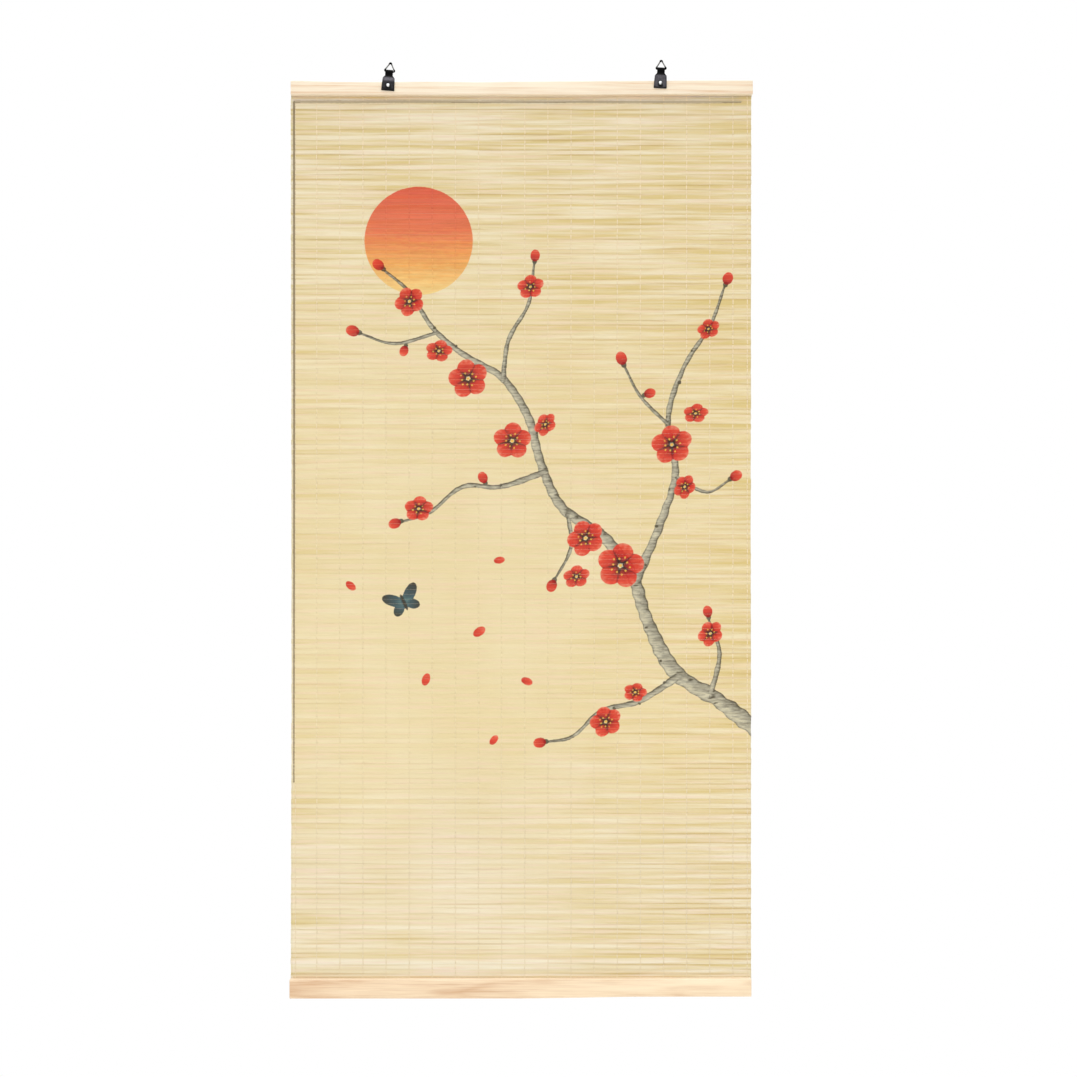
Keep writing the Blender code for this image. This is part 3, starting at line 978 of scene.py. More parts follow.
@dataclass(frozen=True)
class PlanedPine:
    """Pine, sawn and planed, without varnish.

    It is pale and half matt. Its yearly rings show as straight pinkish-tan stripes where the saw crossed
    them and as long tongues where it ran along them, and as arcs on the end grain, which is darker. They are
    faintest about `palest`, and the wood's tone deepens away from there. Faces that look upwards, with
    their rounded edges, can get a painted highlight that stands in for light from above.
    """

    name: str
    pith: Point
    lean: Point
    early: str
    late: str
    ring: float
    tinge: float
    contrast: float
    palest: float
    deepening: float
    # how much paler faces that look upwards are: a painted highlight, as if lit from above
    upward_highlight: float
    roughness: float = 0.55
    # the colour of that painted highlight
    highlight_tint: Rgba = (1.0, 0.93, 0.8, 1.0)
    season: tuple[tuple[float, str], ...] = ((0.0, "#101010"), (0.45, "#3A3A3A"), (0.8, "#C8C8C8"),
                                             (0.95, "#101010"))
    streaking: Span = (0.46, 0.7, 0.0, 0.52)
    fibre_shade: Span = (0.25, 0.75, 0.95, 1.04)
    end_shade: Span = (0.5, 0.95, 1.0, 0.8)

    def build(self) -> Material:
        """Makes the material. The rings are shells about the pith, a line that runs a little askew to X."""
        material, tree, place = new_material(self.name, Roughness=self.roughness)
        add = partial(add_node, tree)
        wander = add_grain(tree, place, (3.0, 1.0, 8.0), 130 * MM, 24 * MM)
        fibres = add_grain(tree, place, (2.0, 6.0, 9.0), 30 * MM, 0.35 * MM, 4.0)
        blotch = add_grain(tree, place, (5.0, 4.0, 1.0), 70 * MM, 6 * MM)
        streaks = add_grain(tree, place, (8.0, 2.0, 3.0), 55 * MM, 1.3 * MM, 3.0)
        along = add("SeparateXYZ", place).outputs["X"]
        drift = add("VectorMath", (0.0, *self.lean), along, operation="SCALE")
        moved = add("VectorMath", place, drift, operation="ADD")
        pith = (0.0, -self.pith[0], -self.pith[1])
        across = add("VectorMath", moved, (0.0, 1.0, 1.0), pith, operation="MULTIPLY_ADD")
        radius = add("VectorMath", across, operation="LENGTH")
        waved = add("Math", wander, 6 * MM, radius, operation="MULTIPLY_ADD")
        years = add("Math", waved, self.ring, operation="DIVIDE")
        late = add("ValToRGB", add("Math", years, operation="FRACT"))
        set_stops(late, self.season)
        marked = add("Math", late, add("MapRange", streaks, *self.streaking), operation="ADD")
        off = add("Math", along, self.palest, operation="SUBTRACT")
        distance = add("Math", off, operation="ABSOLUTE")
        deeper = add("Math", distance, self.deepening, blotch, operation="MULTIPLY_ADD")
        strength = add("MapRange", deeper, 0.4, 0.9, 0.15 * self.contrast, self.contrast)
        tinged = add("Math", marked, self.tinge, operation="ADD")
        ringed = add("Math", tinged, strength, operation="MULTIPLY")
        wood = add("Mix", ringed, self.early, self.late, data_type="RGBA")
        facing = add("SeparateXYZ", add("NewGeometry").outputs["Normal"])
        # painted highlight: faces that look upwards turn paler, as if lit from above
        upward_share = add("MapRange", facing.outputs["Z"], 0.3, 0.8, 0.0, self.upward_highlight)
        worn = add("Mix", upward_share, wood, self.highlight_tint, data_type="RGBA")
        endwise = add("Math", facing.outputs["X"], operation="ABSOLUTE")
        shade = add("MapRange", fibres, *self.fibre_shade)
        darkened = add("Math", shade, add("MapRange", endwise, *self.end_shade), operation="MULTIPLY")
        grained = add("VectorMath", worn, darkened, operation="MULTIPLY")
        coat(tree, grained, fibres, 0.3, 0.06 * MM)
        return material


@dataclass(frozen=True)
class StovedEnamel:
    """Black enamel, dipped and stoved on pressed steel.

    It is near black with a cool cast and half gloss. A grey-violet painted sheen stands in for the light it
    reflects, most on the raised band below the neck and on the foot and less at the rims, and a painted
    shadow lies just below the screw head. It is slightly rippled where it ran.
    """

    black: str = "#030305"
    # the grey-violet of the painted sheen
    sheen_grey: str = "#7B7881"
    roughness: float = 0.38
    shine: float = 0.09
    sheen_patch: float = 0.9 * MM
    run: float = 2.2 * MM

    def build(self) -> Material:
        """Makes the material, which reads a mesh attribute from 0 to 1 that says where the painted sheen
        lies.
        """
        material, tree, place = new_material("stoved_enamel", Roughness=self.roughness,
                                             Specular_IOR_Level=self.shine)
        add = partial(add_node, tree)
        rub = add("Attribute", attribute_name="rub").outputs["Fac"]
        sheen_patches = add("TexNoise", place, Scale=1 / self.sheen_patch, Detail=3.0)
        # the painted sheen, broken into patches
        worn = add("Math", rub, sheen_patches, operation="MULTIPLY")
        colour = add("Mix", add("MapRange", worn, 0.08, 0.6), self.black, self.sheen_grey, data_type="RGBA")
        ripple = add("TexNoise", place, Scale=1 / self.run, Detail=1.0)
        coat(tree, colour, ripple, 0.2, 0.05 * MM)
        return material


@dataclass(frozen=True)
class DrawnWire:
    """Drawn steel wire, bent cold.

    It is mid grey and bright along the straights, and painted black round the bends as a painted dark
    reflection.
    """

    bright: str = "#7E7E7C"
    # the painted dark reflection round the bends
    at_bends: str = "#030304"
    roughness: float = 0.32
    scratch: float = 0.25 * MM

    def build(self) -> Material:
        """Makes the material, which reads the mesh attribute "bend" from 0 to 1."""
        material, tree, place = new_material("drawn_steel_wire", Roughness=self.roughness, Metallic=1.0)
        add = partial(add_node, tree)
        bend = add("Attribute", attribute_name="bend").outputs["Fac"]
        marks = add("TexNoise", place, Scale=1 / self.scratch, Detail=2.0)
        # painted dark reflection: black round the bends, broken up by the marks
        dark = add("Math", marks, 0.35, bend, operation="MULTIPLY_ADD")
        colour = add("Mix", add("MapRange", dark, 0.3, 0.85), self.bright, self.at_bends, data_type="RGBA")
        feed(tree.nodes["Principled BSDF"], Base_Color=colour)
        return material


@dataclass(frozen=True)
class NickelPlate:
    """Nickel plate on a cold-headed screw.

    It is bright, with fine marks from tumbling that soften what it mirrors.
    """

    colour: str = "#E8EAEC"
    roughness: float = 0.22
    mark: float = 0.3 * MM

    def build(self) -> Material:
        """Makes the material, with its tumbling marks in the roughness."""
        material, tree, place = new_material("nickel_plate", Base_Color=self.colour, Roughness=self.roughness,
                                             Metallic=1.0)
        marks = add_node(tree, "TexNoise", place, Scale=1 / self.mark, Detail=2.0)
        rough = add_node(tree, "MapRange", marks, 0.3, 0.7, self.roughness - 0.08, self.roughness + 0.1)
        feed(tree.nodes["Principled BSDF"], Roughness=rough)
        return material


@dataclass(frozen=True)
class FloorPaint:
    """Matt floor paint on concrete: off-white, rolled on, with a faint unevenness."""

    light: str = "#F2F1EE"
    dark: str = "#E9E8E4"
    roughness: float = 0.85

    def build(self) -> Material:
        """Makes the material."""
        material, tree, place = new_material("floor_paint", Roughness=self.roughness)
        cloud = add_node(tree, "TexNoise", place, Scale=3.0, Detail=3.0)
        colour = add_node(tree, "Mix", cloud, self.dark, self.light, data_type="RGBA")
        feed(tree.nodes["Principled BSDF"], Base_Color=colour)
        return material


# Sub-assemblies


@dataclass
class SlatRows:
    """Where the slats lie, read from the mat's solid: its ribs are the slats."""

    left_edges: Array
    right_edges: Array
    left_ends: Array
    right_ends: Array
    seed: int = 7
    wave: tuple[Point, ...] = ((0.31, 0.32 * MM), (0.13, 0.2 * MM), (0.047, 0.07 * MM))
    left: float = -0.2515
    right: float = 0.2505

    @classmethod
    def from_solid(cls, node: str = "bamboo_mat") -> "SlatRows":
        """Reads the valleys between the ribs, and the ribs' ends, off the solid's front."""
        points = np.unique(np.round(points_of(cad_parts[node]), 6), axis=0)
        front = points[points[:, 1] < -0.1 * MM]
        crest = front[:, 1].min()
        valleys = front[front[:, 1] > crest + 0.2 * MM]
        ribs = front[front[:, 1] < crest + 0.2 * MM]
        sides = []
        for way in (-1, 1):
            heights = np.sort(valleys[valleys[:, 0] * way > 0][:, 2])
            rib = ribs[ribs[:, 0] * way > 0]
            sides.append((heights, rib[rib[:, 2].argsort()][::2, 0]))
        (left_edges, left_ends), (right_edges, right_ends) = sides
        # the ends are trimmed closer to one line than the ribs' ends
        left_ends, right_ends = ((ends + np.median(ends)) / 2 for ends in (left_ends, right_ends))
        return cls(left_edges, right_edges, left_ends, right_ends)

    @property
    def count(self) -> int:
        """How many slats there are."""
        return len(self.left_ends)

    def halves(self) -> dict[str, range]:
        """The numbers of the slats in the mat's upper and lower half, which are separate meshes."""
        middle = self.count // 2
        return {"upper": range(middle, self.count), "lower": range(middle)}

    def flat_size(self, slats: range) -> tuple[float, float]:
        """Width and height of a run of slats, laid flat."""
        height = self.left_edges[slats.stop] - self.left_edges[slats.start]
        return self.right - self.left, float(height)

    def edge_heights(self, x: Array) -> Array:
        """Heights of the lines between slats, with the slight waviness that two neighbours share.

        Args:
            x: the places along the slats.

        Returns:
            The heights, in the shape (slats + 1, places).
        """
        random = np.random.default_rng(self.seed)
        share = (x - self.left) / (self.right - self.left)
        heights = self.left_edges[:, None] * (1 - share) + self.right_edges[:, None] * share
        for length, size in self.wave:
            start = random.uniform(0, math.tau, self.count + 1)[:, None]
            ripple = size * np.sin(math.tau * x[None, :] / length + start)
            ripple[[0, -1]] = 0.0
            heights = heights + ripple
        return heights


# round a slat's section: depth in half thicknesses, share of the half width, inset in mm, and print
SLAT_SECTION = (
    (-0.975, -1, 0.7, 1.0), (-0.995, -0.45, 0.0, 1.0), (-1.0, 0, 0.0, 1.0), (-0.995, 0.45, 0.0, 1.0),
    (-0.975, 1, 0.7, 1.0), (-0.94, 1, 0.2, 1.0), (-0.87, 1, 0.0, 0.7), (1.0, 1, 0.12, 0.0),
    (1.0, -1, 0.12, 0.0), (-0.87, -1, 0.0, 0.7), (-0.94, -1, 0.2, 1.0),
)


@dataclass
class SlatMat:
    """The slats of the mat: split bamboo strips with eased edges, side by side, printed on the front."""

    rows: SlatRows
    artwork: Print
    half_thickness: float = 0.65 * MM
    usual_half: float = 2.72 * MM
    joint: float = 0.02 * MM
    sway: float = 0.1 * MM
    sway_length: float = 0.31
    fine_step: float = 1.15 * MM
    plain_every: int = 14
    shade_every: int = 3
    edge_reach: float = 1.5
    apart: float = 0.4
    skew: float = 1.8
    sharp: float = 62
    seed: int = 11

    def stations(self, slat: int) -> Array:
        """Places along a slat that need a section: few on bare bamboo, many where the print's edges cross.

        Args:
            slat: its number, from the bottom up.

        Returns:
            The places, from its left end to its right end.
        """
        left, right = self.rows.left_ends[slat], self.rows.right_ends[slat]
        x = np.linspace(left, right, 1 + round((right - left) / self.fine_step))
        lines = self.rows.edge_heights(x)[slat : slat + 2]
        near = np.zeros(len(x), bool)
        inside = np.zeros(len(x), bool)
        for share in (0.1, 0.5, 0.9):
            laid = self.artwork.ink(x, lines[0] * (1 - share) + lines[1] * share)
            for layer, (depth, _) in laid.items():
                near |= np.abs(depth) < self.edge_reach
                if layer in (Layer.BLOOM, Layer.BRANCH, Layer.WING):
                    inside |= depth > 0
        number = np.arange(len(x))
        kept = near | (inside & (number % self.shade_every == 0)) | (number % self.plain_every == 0)
        kept[[0, -1]] = True
        return x[kept]

    def section(self, low: Array, high: Array, sway: Array) -> tuple[Array, Array, Array, Array]:
        """A slat's section at each station: a crowned front, rounded shoulders and a flat back.

        Args:
            low: height of its lower edge at each station.
            high: height of its upper edge.
            sway: how far it stands back from the mat's mid plane.

        Returns:
            y and z in the shape (stations, points around), then for each point around how far across the
            slat it lies, from -1 to 1, and 1 where the print reaches it.
        """
        depth, share, inset, front = np.array(SLAT_SECTION).T
        y = sway[:, None] + depth * self.half_thickness
        middle, half = (low + high)[:, None] / 2, (high - low)[:, None] / 2
        z = middle + share * half - np.sign(share) * inset * MM
        across = share - np.sign(share) * inset * MM / self.usual_half
        return y, z, across, front

    def chances(self, random: np.random.Generator) -> Array:
        """How light each slat is by its cane: most are light and a few are much darker.

        Args:
            random: gives the draws.

        Returns:
            A number from 0 to 1 for each slat.
        """
        drawn = random.uniform(0, 1, self.rows.count + 2)
        # neighbours come from different canes, so each slat is pushed away from the two beside it
        made = drawn[1:-1] - self.apart * (drawn[:-2] + drawn[2:])
        made = (made - made.min()) / np.ptp(made)
        return 1 - (1 - made) ** self.skew

    def build(self, material: Material) -> list[Thing]:
        """Makes the slats, with their "slat" attribute and their print, as an upper and a lower half."""
        random = np.random.default_rng(self.seed)
        chances = self.chances(random)
        starts = random.uniform(0, math.tau, self.rows.count)
        made = []
        for half, slats in self.rows.halves().items():
            weave = Weave()
            stored = []
            for slat in slats:
                x = self.stations(slat)
                lines = self.rows.edge_heights(x)
                low, high = lines[slat] + self.joint / 2, lines[slat + 1] - self.joint / 2
                sway = self.sway * np.sin(math.tau * x / self.sway_length + starts[slat])
                y, z, across, front = self.section(low, high, sway)
                weave.add_tube(np.stack([np.broadcast_to(x[:, None], y.shape), y, z], axis=-1))
                ring = np.stack([across, np.full(across.shape, chances[slat]), front], axis=-1)
                stored.append(np.tile(ring, (len(x), 1)))
            mat = weave.finish(f"bamboo_slats_{half}", self.sharp)
            set_attribute(mat, "slat", np.concatenate(stored))
            self.artwork.dress(mat)
            made.append(place_piece(mat, material, Slot.BAMBOO, "bamboo_mat"))
        return made


@dataclass
class WarpThreads:
    """Pairs of cotton threads that cross at every joint: one passes before each slat and one behind."""

    rows: SlatRows
    artwork: Print
    slat_half: float = 0.65 * MM
    first: float = -223.1 * MM
    pitch: float = 25.2 * MM
    columns: int = 19
    selvedges: Point = (-246.3 * MM, 246.2 * MM)
    half_width: float = 0.5 * MM
    half_depth: float = 0.14 * MM
    squeezed: float = 0.045 * MM
    shoulder: float = 0.7 * MM
    apart: float = 0.3 * MM
    edge_reach: float = 3.0
    fine_stations: int = 6
    sides: int = 6
    sharp: float = 80
    seed: int = 23

    def strand(self, x: float, phase: int, slats: range) -> Array:
        """One thread's rings from the bottom up.

        Args:
            x: the column's place.
            phase: 0 or 1, which of the pair starts in front.
            slats: the slats that it crosses.

        Returns:
            The rings, in the shape (stations, sides, 3).
        """
        edges = self.rows.edge_heights(np.array([x]))[slats.start : slats.stop + 1, 0]
        out = self.slat_half + self.half_depth
        low, high = edges[:-1] + self.shoulder, edges[1:] - self.shoulder
        heights = np.linspace(low, high, self.fine_stations, axis=1)
        laid = self.artwork.ink(np.full(heights.size, x), heights.ravel())
        from_edge = np.min([np.abs(depth) for depth, _ in laid.values()], axis=0).reshape(heights.shape)
        path, half = [], []
        for slat, start, run, near in zip(slats, edges, heights, from_edge.min(axis=1) < self.edge_reach):
            way = -1 if (slat + phase) % 2 else 1
            kept = run if near and way < 0 else run[[0, -1]]
            path += [(0.0, start), *((way * out, z) for z in kept)]
            half += [self.squeezed] + [self.half_depth] * len(kept)
        path.append((0.0, edges[-1]))
        half.append(self.squeezed)
        points = np.array(path)
        normal = left_of(np.gradient(points, axis=0)) * np.array(half)[:, None]
        angles = round_steps(self.sides)
        rings = np.empty((len(points), self.sides, 3))
        rings[..., 0] = x + (phase - 0.5) * self.apart + self.half_width * np.cos(angles)
        rings[..., 1:] = points[:, None, :] + normal[:, None, :] * np.sin(angles)[None, :, None]
        return rings

    def build(self, material: Material) -> list[Thing]:
        """Makes every pair of threads, as an upper and a lower half of the mat."""
        random = np.random.default_rng(self.seed)
        between = (self.first + self.pitch * k for k in range(self.columns))
        columns = [self.selvedges[0], *between, self.selvedges[1]]
        made = []
        for half, slats in self.rows.halves().items():
            weave = Weave()
            stored = []
            for x in columns:
                for phase in (0, 1):
                    rings = self.strand(x, phase, slats)
                    weave.add_tube(rings)
                    turn = np.broadcast_to(round_steps(self.sides), rings.shape[:2])
                    chance = np.full(turn.shape, random.uniform())
                    front = (rings[..., 1] < 0).astype(float)
                    stored.append(np.stack([turn, chance, front], axis=-1).reshape(-1, 3))
            threads = weave.finish(f"warp_threads_{half}", self.sharp)
            set_attribute(threads, "slat", np.concatenate(stored))
            self.artwork.dress(threads)
            made.append(place_piece(threads, material, Slot.COTTON_THREAD))
        return made


@dataclass
class Batten:
    """A pine bar that holds an edge of the mat in its kerf."""

    node: str
    kerf_down: bool
    outer: Sequence[Point]
    lip: Sequence[Point]
    kerf_half: float = 1.1 * MM
    kerf_depth: float = 8 * MM
    eased: float = 0.8 * MM
    worn: float = 1.2 * MM
    lip_eased: float = 0.25 * MM
    end_ease: tuple[Point, ...] = ((0.0, 0.45 * MM), (0.12 * MM, 0.16 * MM), (0.45 * MM, 0.0))
    corner_steps: int = 4
    stations: int = 41

    def outline(self) -> list[Point]:
        """The bar's outline from its end (y, z), with the kerf downwards, anticlockwise."""
        low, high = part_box(self.node)
        front, back, tall = low.y, high.y, high.z - low.z
        r, s, w = self.eased, self.lip_eased, self.worn
        points = arc((back - r, r), r, -90, 0, self.corner_steps)
        points += arc((back - w, tall - w), w, 0, 90, self.corner_steps)
        points += arc((front + w, tall - w), w, 90, 180, self.corner_steps)
        points += arc((front + r, r), r, 180, 270, self.corner_steps)
        points += arc((-self.kerf_half - s, s), s, -90, 0, 2)
        points += [(-self.kerf_half, self.kerf_depth), (self.kerf_half, self.kerf_depth)]
        points += arc((self.kerf_half + s, s), s, 180, 270, 2)
        return points

    def build(self, material: Material) -> Thing:
        """Makes the bar, with its outer face and its lips as uneven along its length as its tables say."""
        low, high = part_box(self.node)
        tall = high.z - low.z
        section = np.array(self.outline())
        inward = left_of(np.roll(section, -1, axis=0) - np.roll(section, 1, axis=0))
        places = [(low.x + step, inset) for step, inset in self.end_ease]
        places += [(x, 0.0) for x in np.linspace(low.x, high.x, self.stations)[1:-1]]
        places += [(high.x - step, inset) for step, inset in reversed(self.end_ease)]
        rings = []
        for x, inset in places:
            y, z = (section + inward * inset).T
            outer, lip = (np.interp(x / MM, *np.array(edge).T) * MM for edge in (self.outer, self.lip))
            share = np.clip(z / tall, 0, 1)
            z = (low.z + z if self.kerf_down else high.z - z) + outer * share + lip * (1 - share)
            rings.append(np.stack([np.full_like(y, x), y, z], axis=1))
        weave = Weave()
        weave.add_tube(np.array(rings))
        bar = weave.finish(self.node + "_pine", 30)
        return place_piece(bar, material, Slot.PINE, self.node)


@dataclass
class Hanger:
    """A strap folded over the base bar of a wire ring, and the screw that holds it to the top batten."""

    side: str
    bar_x: float
    bar_z: float
    strap_lean: float
    ring_lean: float
    slid: float
    # how strong the painted sheen is on the band below the neck and on the foot
    band_rub: float
    foot_rub: float
    sheet: float = 0.62 * MM
    gap: float = 0.02 * MM
    inner_radius: float = 1.1 * MM
    length: float = 20.4 * MM
    fold_half: float = 4.1 * MM
    neck_half: float = 3.85 * MM
    shoulder_half: float = 6.5 * MM
    foot_half: float = 7.1 * MM
    neck_end: float = 3.2 * MM
    fold_end: float = 4.2 * MM
    shoulder_end: float = 7.6 * MM
    foot_corner: float = 0.8 * MM
    screw_drop: float = 14.8 * MM
    wire_radius: float = 0.7 * MM
    ring_base: float = 11.8 * MM
    ring_height: float = 9.9 * MM
    ring_bend: float = 0.95 * MM
    # how much thicker the wire is at its bends, and how far from them the thickening and the painted dark
    # reflection reach
    at_bends: float = 0.2 * MM
    bend_reach: float = 2.2 * MM
    head_radius: float = 1.95 * MM
    head_height: float = 1.3 * MM
    head_rim: float = 0.4 * MM
    shank_radius: float = 0.9 * MM
    shank_in_wood: float = 6 * MM
    point_length: float = 1.2 * MM
    raised: float = 0.3 * MM
    recess: tuple[float, float, float] = (1.15 * MM, 0.2 * MM, 0.75 * MM)
    recess_taper: float = 0.45

    @property
    def fold_radius(self) -> float:
        """From the ring's bar to the middle of the sheet that is folded round it."""
        return self.inner_radius + self.sheet / 2

    def place(self, obj: Thing, lean: float, slid: float = 0.0) -> None:
        """Moves a piece made about the ring's bar to its place, tilted clockwise as seen from the front."""
        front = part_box("top_batten")[0].y
        points = points_of(obj)
        x, z = turned(points[:, 0], points[:, 2], lean)
        y = points[:, 1] + front - self.fold_radius - self.sheet / 2
        moved = np.stack([x + self.bar_x + slid, y, z + self.bar_z], axis=1)
        obj.data.vertices.foreach_set("co", moved.astype(np.float32).ravel())
        obj.data.update()

    def half_width(self, down: float) -> float:
        """Half the strap's width at a distance below the ring's bar: neck, round shoulders, widening foot."""
        if down <= self.neck_end:
            share = max(0.0, down / self.neck_end)
            return self.fold_half + (self.neck_half - self.fold_half) * share
        if down < self.shoulder_end:
            share = (down - self.neck_end) / (self.shoulder_end - self.neck_end)
            swell = (1 - math.cos(math.pi * share)) / 2
            return self.neck_half + (self.shoulder_half - self.neck_half) * swell
        share = (down - self.shoulder_end) / (self.length - self.shoulder_end)
        half = self.shoulder_half + (self.foot_half - self.shoulder_half) * share
        up, corner = self.length - down, self.foot_corner
        if up < corner:
            half -= corner - math.sqrt(max(0.0, corner**2 - (corner - up) ** 2))
        return half

    def strap_line(self) -> list[Point]:
        """The middle of the folded sheet from the side (y, z): up the back, round the bar, down the front."""
        back = self.fold_radius
        front = back - self.sheet - self.gap
        meets = -self.fold_end
        levels = [-self.length + step * MM for step in (0.0, 0.12, 0.4, 0.8)]
        levels += list(np.linspace(-self.length + 2 * MM, -self.shoulder_end, 9))
        levels += list(np.linspace(-self.shoulder_end, meets, 9)[1:])
        opening = math.acos(self.fold_radius / math.hypot(front, meets))
        tangent = math.degrees(math.atan2(meets, front) - opening)
        line = [(back, z) for z in levels] + arc((0.0, 0.0), self.fold_radius, 0, 360 + tangent, 22)
        for z in reversed(levels):
            rise = np.interp(-z, (self.shoulder_end - 0.6 * MM, self.shoulder_end + 1.6 * MM), (0.0, 1.0))
            line.append((front - self.raised * float(rise), z))
        return line

    def build_strap(self, material: Material) -> None:
        """Makes the strap from its middle surface, with the sheet's thickness, eased edges and screw hole."""
        across = np.linspace(-1, 1, 9)
        grid = np.array([[(share * self.half_width(-z), y, z) for share in across]
                         for y, z in self.strap_line()])
        stations, wide, _ = grid.shape
        index = np.arange(stations * wide).reshape(stations, wide)
        quads = np.stack([index[:-1, :-1], index[:-1, 1:], index[1:, 1:], index[1:, :-1]], axis=-1)
        mesh = bpy.data.meshes.new(f"strap_{self.side}")
        mesh.from_pydata(grid.reshape(-1, 3).tolist(), [], quads.reshape(-1, 4).tolist())
        strap = new_object(mesh.name, mesh)
        sheet = strap.modifiers.new("sheet", "SOLIDIFY")
        sheet.thickness = self.sheet
        sheet.offset = 0.0
        eased = strap.modifiers.new("eased", "BEVEL")
        eased.width = 0.12 * MM
        eased.segments = 2
        eased.angle_limit = math.radians(50)
        apply_modifiers(strap)
        cut_out(strap, self.drill(self.shank_radius + 0.25 * MM, 12 * MM))
        smooth(strap, 40)
        # painted sheen, with a painted shadow below the screw head, stored for the enamel
        set_attribute(strap, "rub", self.rub(points_of(strap)))
        self.place(strap, self.strap_lean)
        place_piece(strap, material, Slot.PAINTED_STEEL, f"hanger_strap_{self.side}")

    def rub(self, points: Array) -> Array:
        """How much painted sheen the strap's enamel gets: most on the band below the neck and on the foot,
        less at the rims, with a painted shadow below the screw head.
        """
        down = -points[:, 2] / MM
        band = np.interp(down, (4.8, 7.0, 8.8, 11.4), (0.0, self.band_rub, self.band_rub, 0.0))
        foot = np.interp(down, (5.0, 8.0, 17.5, 20.0), (0.0, 1.0, 1.0, 0.35)) * self.foot_rub
        half = np.array([self.half_width(z * MM) for z in down])
        sides = np.interp(np.abs(points[:, 0]) / half, (0.7, 0.95), (1.0, 0.6))
        # painted shadow of the screw head: the sheen falls away in an oval just below it
        below = down - self.screw_drop / MM - 1.0
        cast_shade_zone = np.interp(np.hypot(points[:, 0] / MM, below / 1.3), (2.0, 3.2), (0.1, 1.0))
        return np.maximum(band, foot) * sides * cast_shade_zone

    def drill(self, radius: float, length: float) -> Thing:
        """A plain rod along the screw's line, to cut with.

        Args:
            radius: of the rod.
            length: of the rod.

        Returns:
            The cutter.
        """
        bm = bmesh.new()
        bmesh.ops.create_cone(bm, cap_ends=True, segments=32, radius1=radius, radius2=radius, depth=length)
        for vert in bm.verts:
            x, y, z = vert.co
            vert.co = (x, z, y - self.screw_drop)
        bmesh.ops.recalc_face_normals(bm, faces=bm.faces)
        return from_bmesh("drill", bm)

    def ring_line(self) -> tuple[Array, Array]:
        """The middle of the ring's wire (x, z) with its bent corners, and how bent the wire is there."""
        corners = ((-self.ring_base / 2, 0.0), (self.ring_base / 2, 0.0), (0.0, self.ring_height))
        slope = math.degrees(math.atan2(self.ring_height, self.ring_base / 2))
        turns = ((90 + slope, 270), (270, 450 - slope), (90 - slope, 90 + slope))
        insides = (slope / 2, 180 - slope / 2, 270)
        openings = (slope, slope, 180 - 2 * slope)
        bends = []
        for corner, turn, inside, opening in zip(corners, turns, insides, openings):
            reach = self.ring_bend / math.sin(math.radians(opening / 2))
            x, z = turned(reach, 0.0, -inside)
            bends.append(arc((corner[0] + x, corner[1] + z), self.ring_bend, *turn, 8))
        points: list[Point] = []
        bent: list[float] = []
        for bend, following in zip(bends, bends[1:] + bends[:1]):
            points += bend
            bent += [1.0] * len(bend)
            start, end = np.array(bend[-1]), np.array(following[0])
            run = float(np.linalg.norm(end - start))
            for share in np.linspace(0, 1, 10)[1:-1]:
                points.append(tuple(start + (end - start) * share))
                bent.append(max(0.0, 1 - run * min(share, 1 - share) / self.bend_reach))
        return np.array(points), np.array(bent)

    def build_ring(self, material: Material) -> None:
        """Makes the ring as a tube along its wire, thicker at the bends, most at the top."""
        points, bent = self.ring_line()
        normal = left_of(np.roll(points, -1, axis=0) - np.roll(points, 1, axis=0))
        angles = round_steps(14)
        rings = np.empty((len(points), len(angles), 3))
        radius = self.wire_radius + self.at_bends * bent**2 * (1 + 0.7 * points[:, 1] / self.ring_height)
        reach = (radius[:, None] * normal)[:, None, :]
        rings[..., ::2] = points[:, None, :] + reach * np.cos(angles)[:, None]
        rings[..., 1] = radius[:, None] * np.sin(angles)
        weave = Weave()
        weave.add_tube(rings, closed=True)
        ring = weave.finish(f"ring_{self.side}", 60)
        set_attribute(ring, "bend", np.repeat(bent, len(angles)))
        self.place(ring, self.ring_lean, self.slid)
        place_piece(ring, material, Slot.STEEL_WIRE, f"hanger_ring_{self.side}")

    def build_screw(self, material: Material) -> None:
        """Makes the pan-head screw, turned about its own line, with a cross recess."""
        face = self.fold_radius - 1.5 * self.sheet - self.gap - self.raised
        dome = self.head_height - self.head_rim
        point = self.fold_radius + self.sheet / 2 + self.shank_in_wood
        profile = [(self.head_radius * math.sin(a), face - self.head_rim - dome * math.cos(a))
                   for a in np.linspace(0.02, math.pi / 2, 10)]
        profile += [(self.head_radius, face), (self.shank_radius, face),
                    (self.shank_radius, point - self.point_length), (0.05 * MM, point)]
        rings = np.array([[(r * math.cos(a), y, r * math.sin(a) - self.screw_drop) for a in round_steps(36)]
                          for r, y in profile])
        weave = Weave()
        weave.add_tube(rings)
        screw = weave.finish(f"screw_{self.side}", 40)
        for turn in (35.0, 125.0):
            cut_out(screw, self.blade(turn, face - self.head_height))
        smooth(screw, 40)
        self.place(screw, self.strap_lean)
        place_piece(screw, material, Slot.NICKEL, f"hanger_screw_{self.side}")

    def blade(self, turn: float, top: float) -> Thing:
        """One arm of the screwdriver's cross, tapering into the head, to cut with.

        Args:
            turn: its angle about the screw, in degrees.
            top: y of the head's crown.

        Returns:
            The cutter.
        """
        half_long, half_thick, deep = self.recess
        bm = bmesh.new()
        bmesh.ops.create_cube(bm, size=2.0)
        for vert in bm.verts:
            x, y, z = vert.co
            taper = self.recess_taper if y > 0 else 1.0
            x, z = turned(x * half_long * taper, z * half_thick * taper, -turn)
            vert.co = (x, top + (deep if y > 0 else -0.4 * MM), z - self.screw_drop)
        bmesh.ops.recalc_face_normals(bm, faces=bm.faces)
        return from_bmesh("blade", bm)


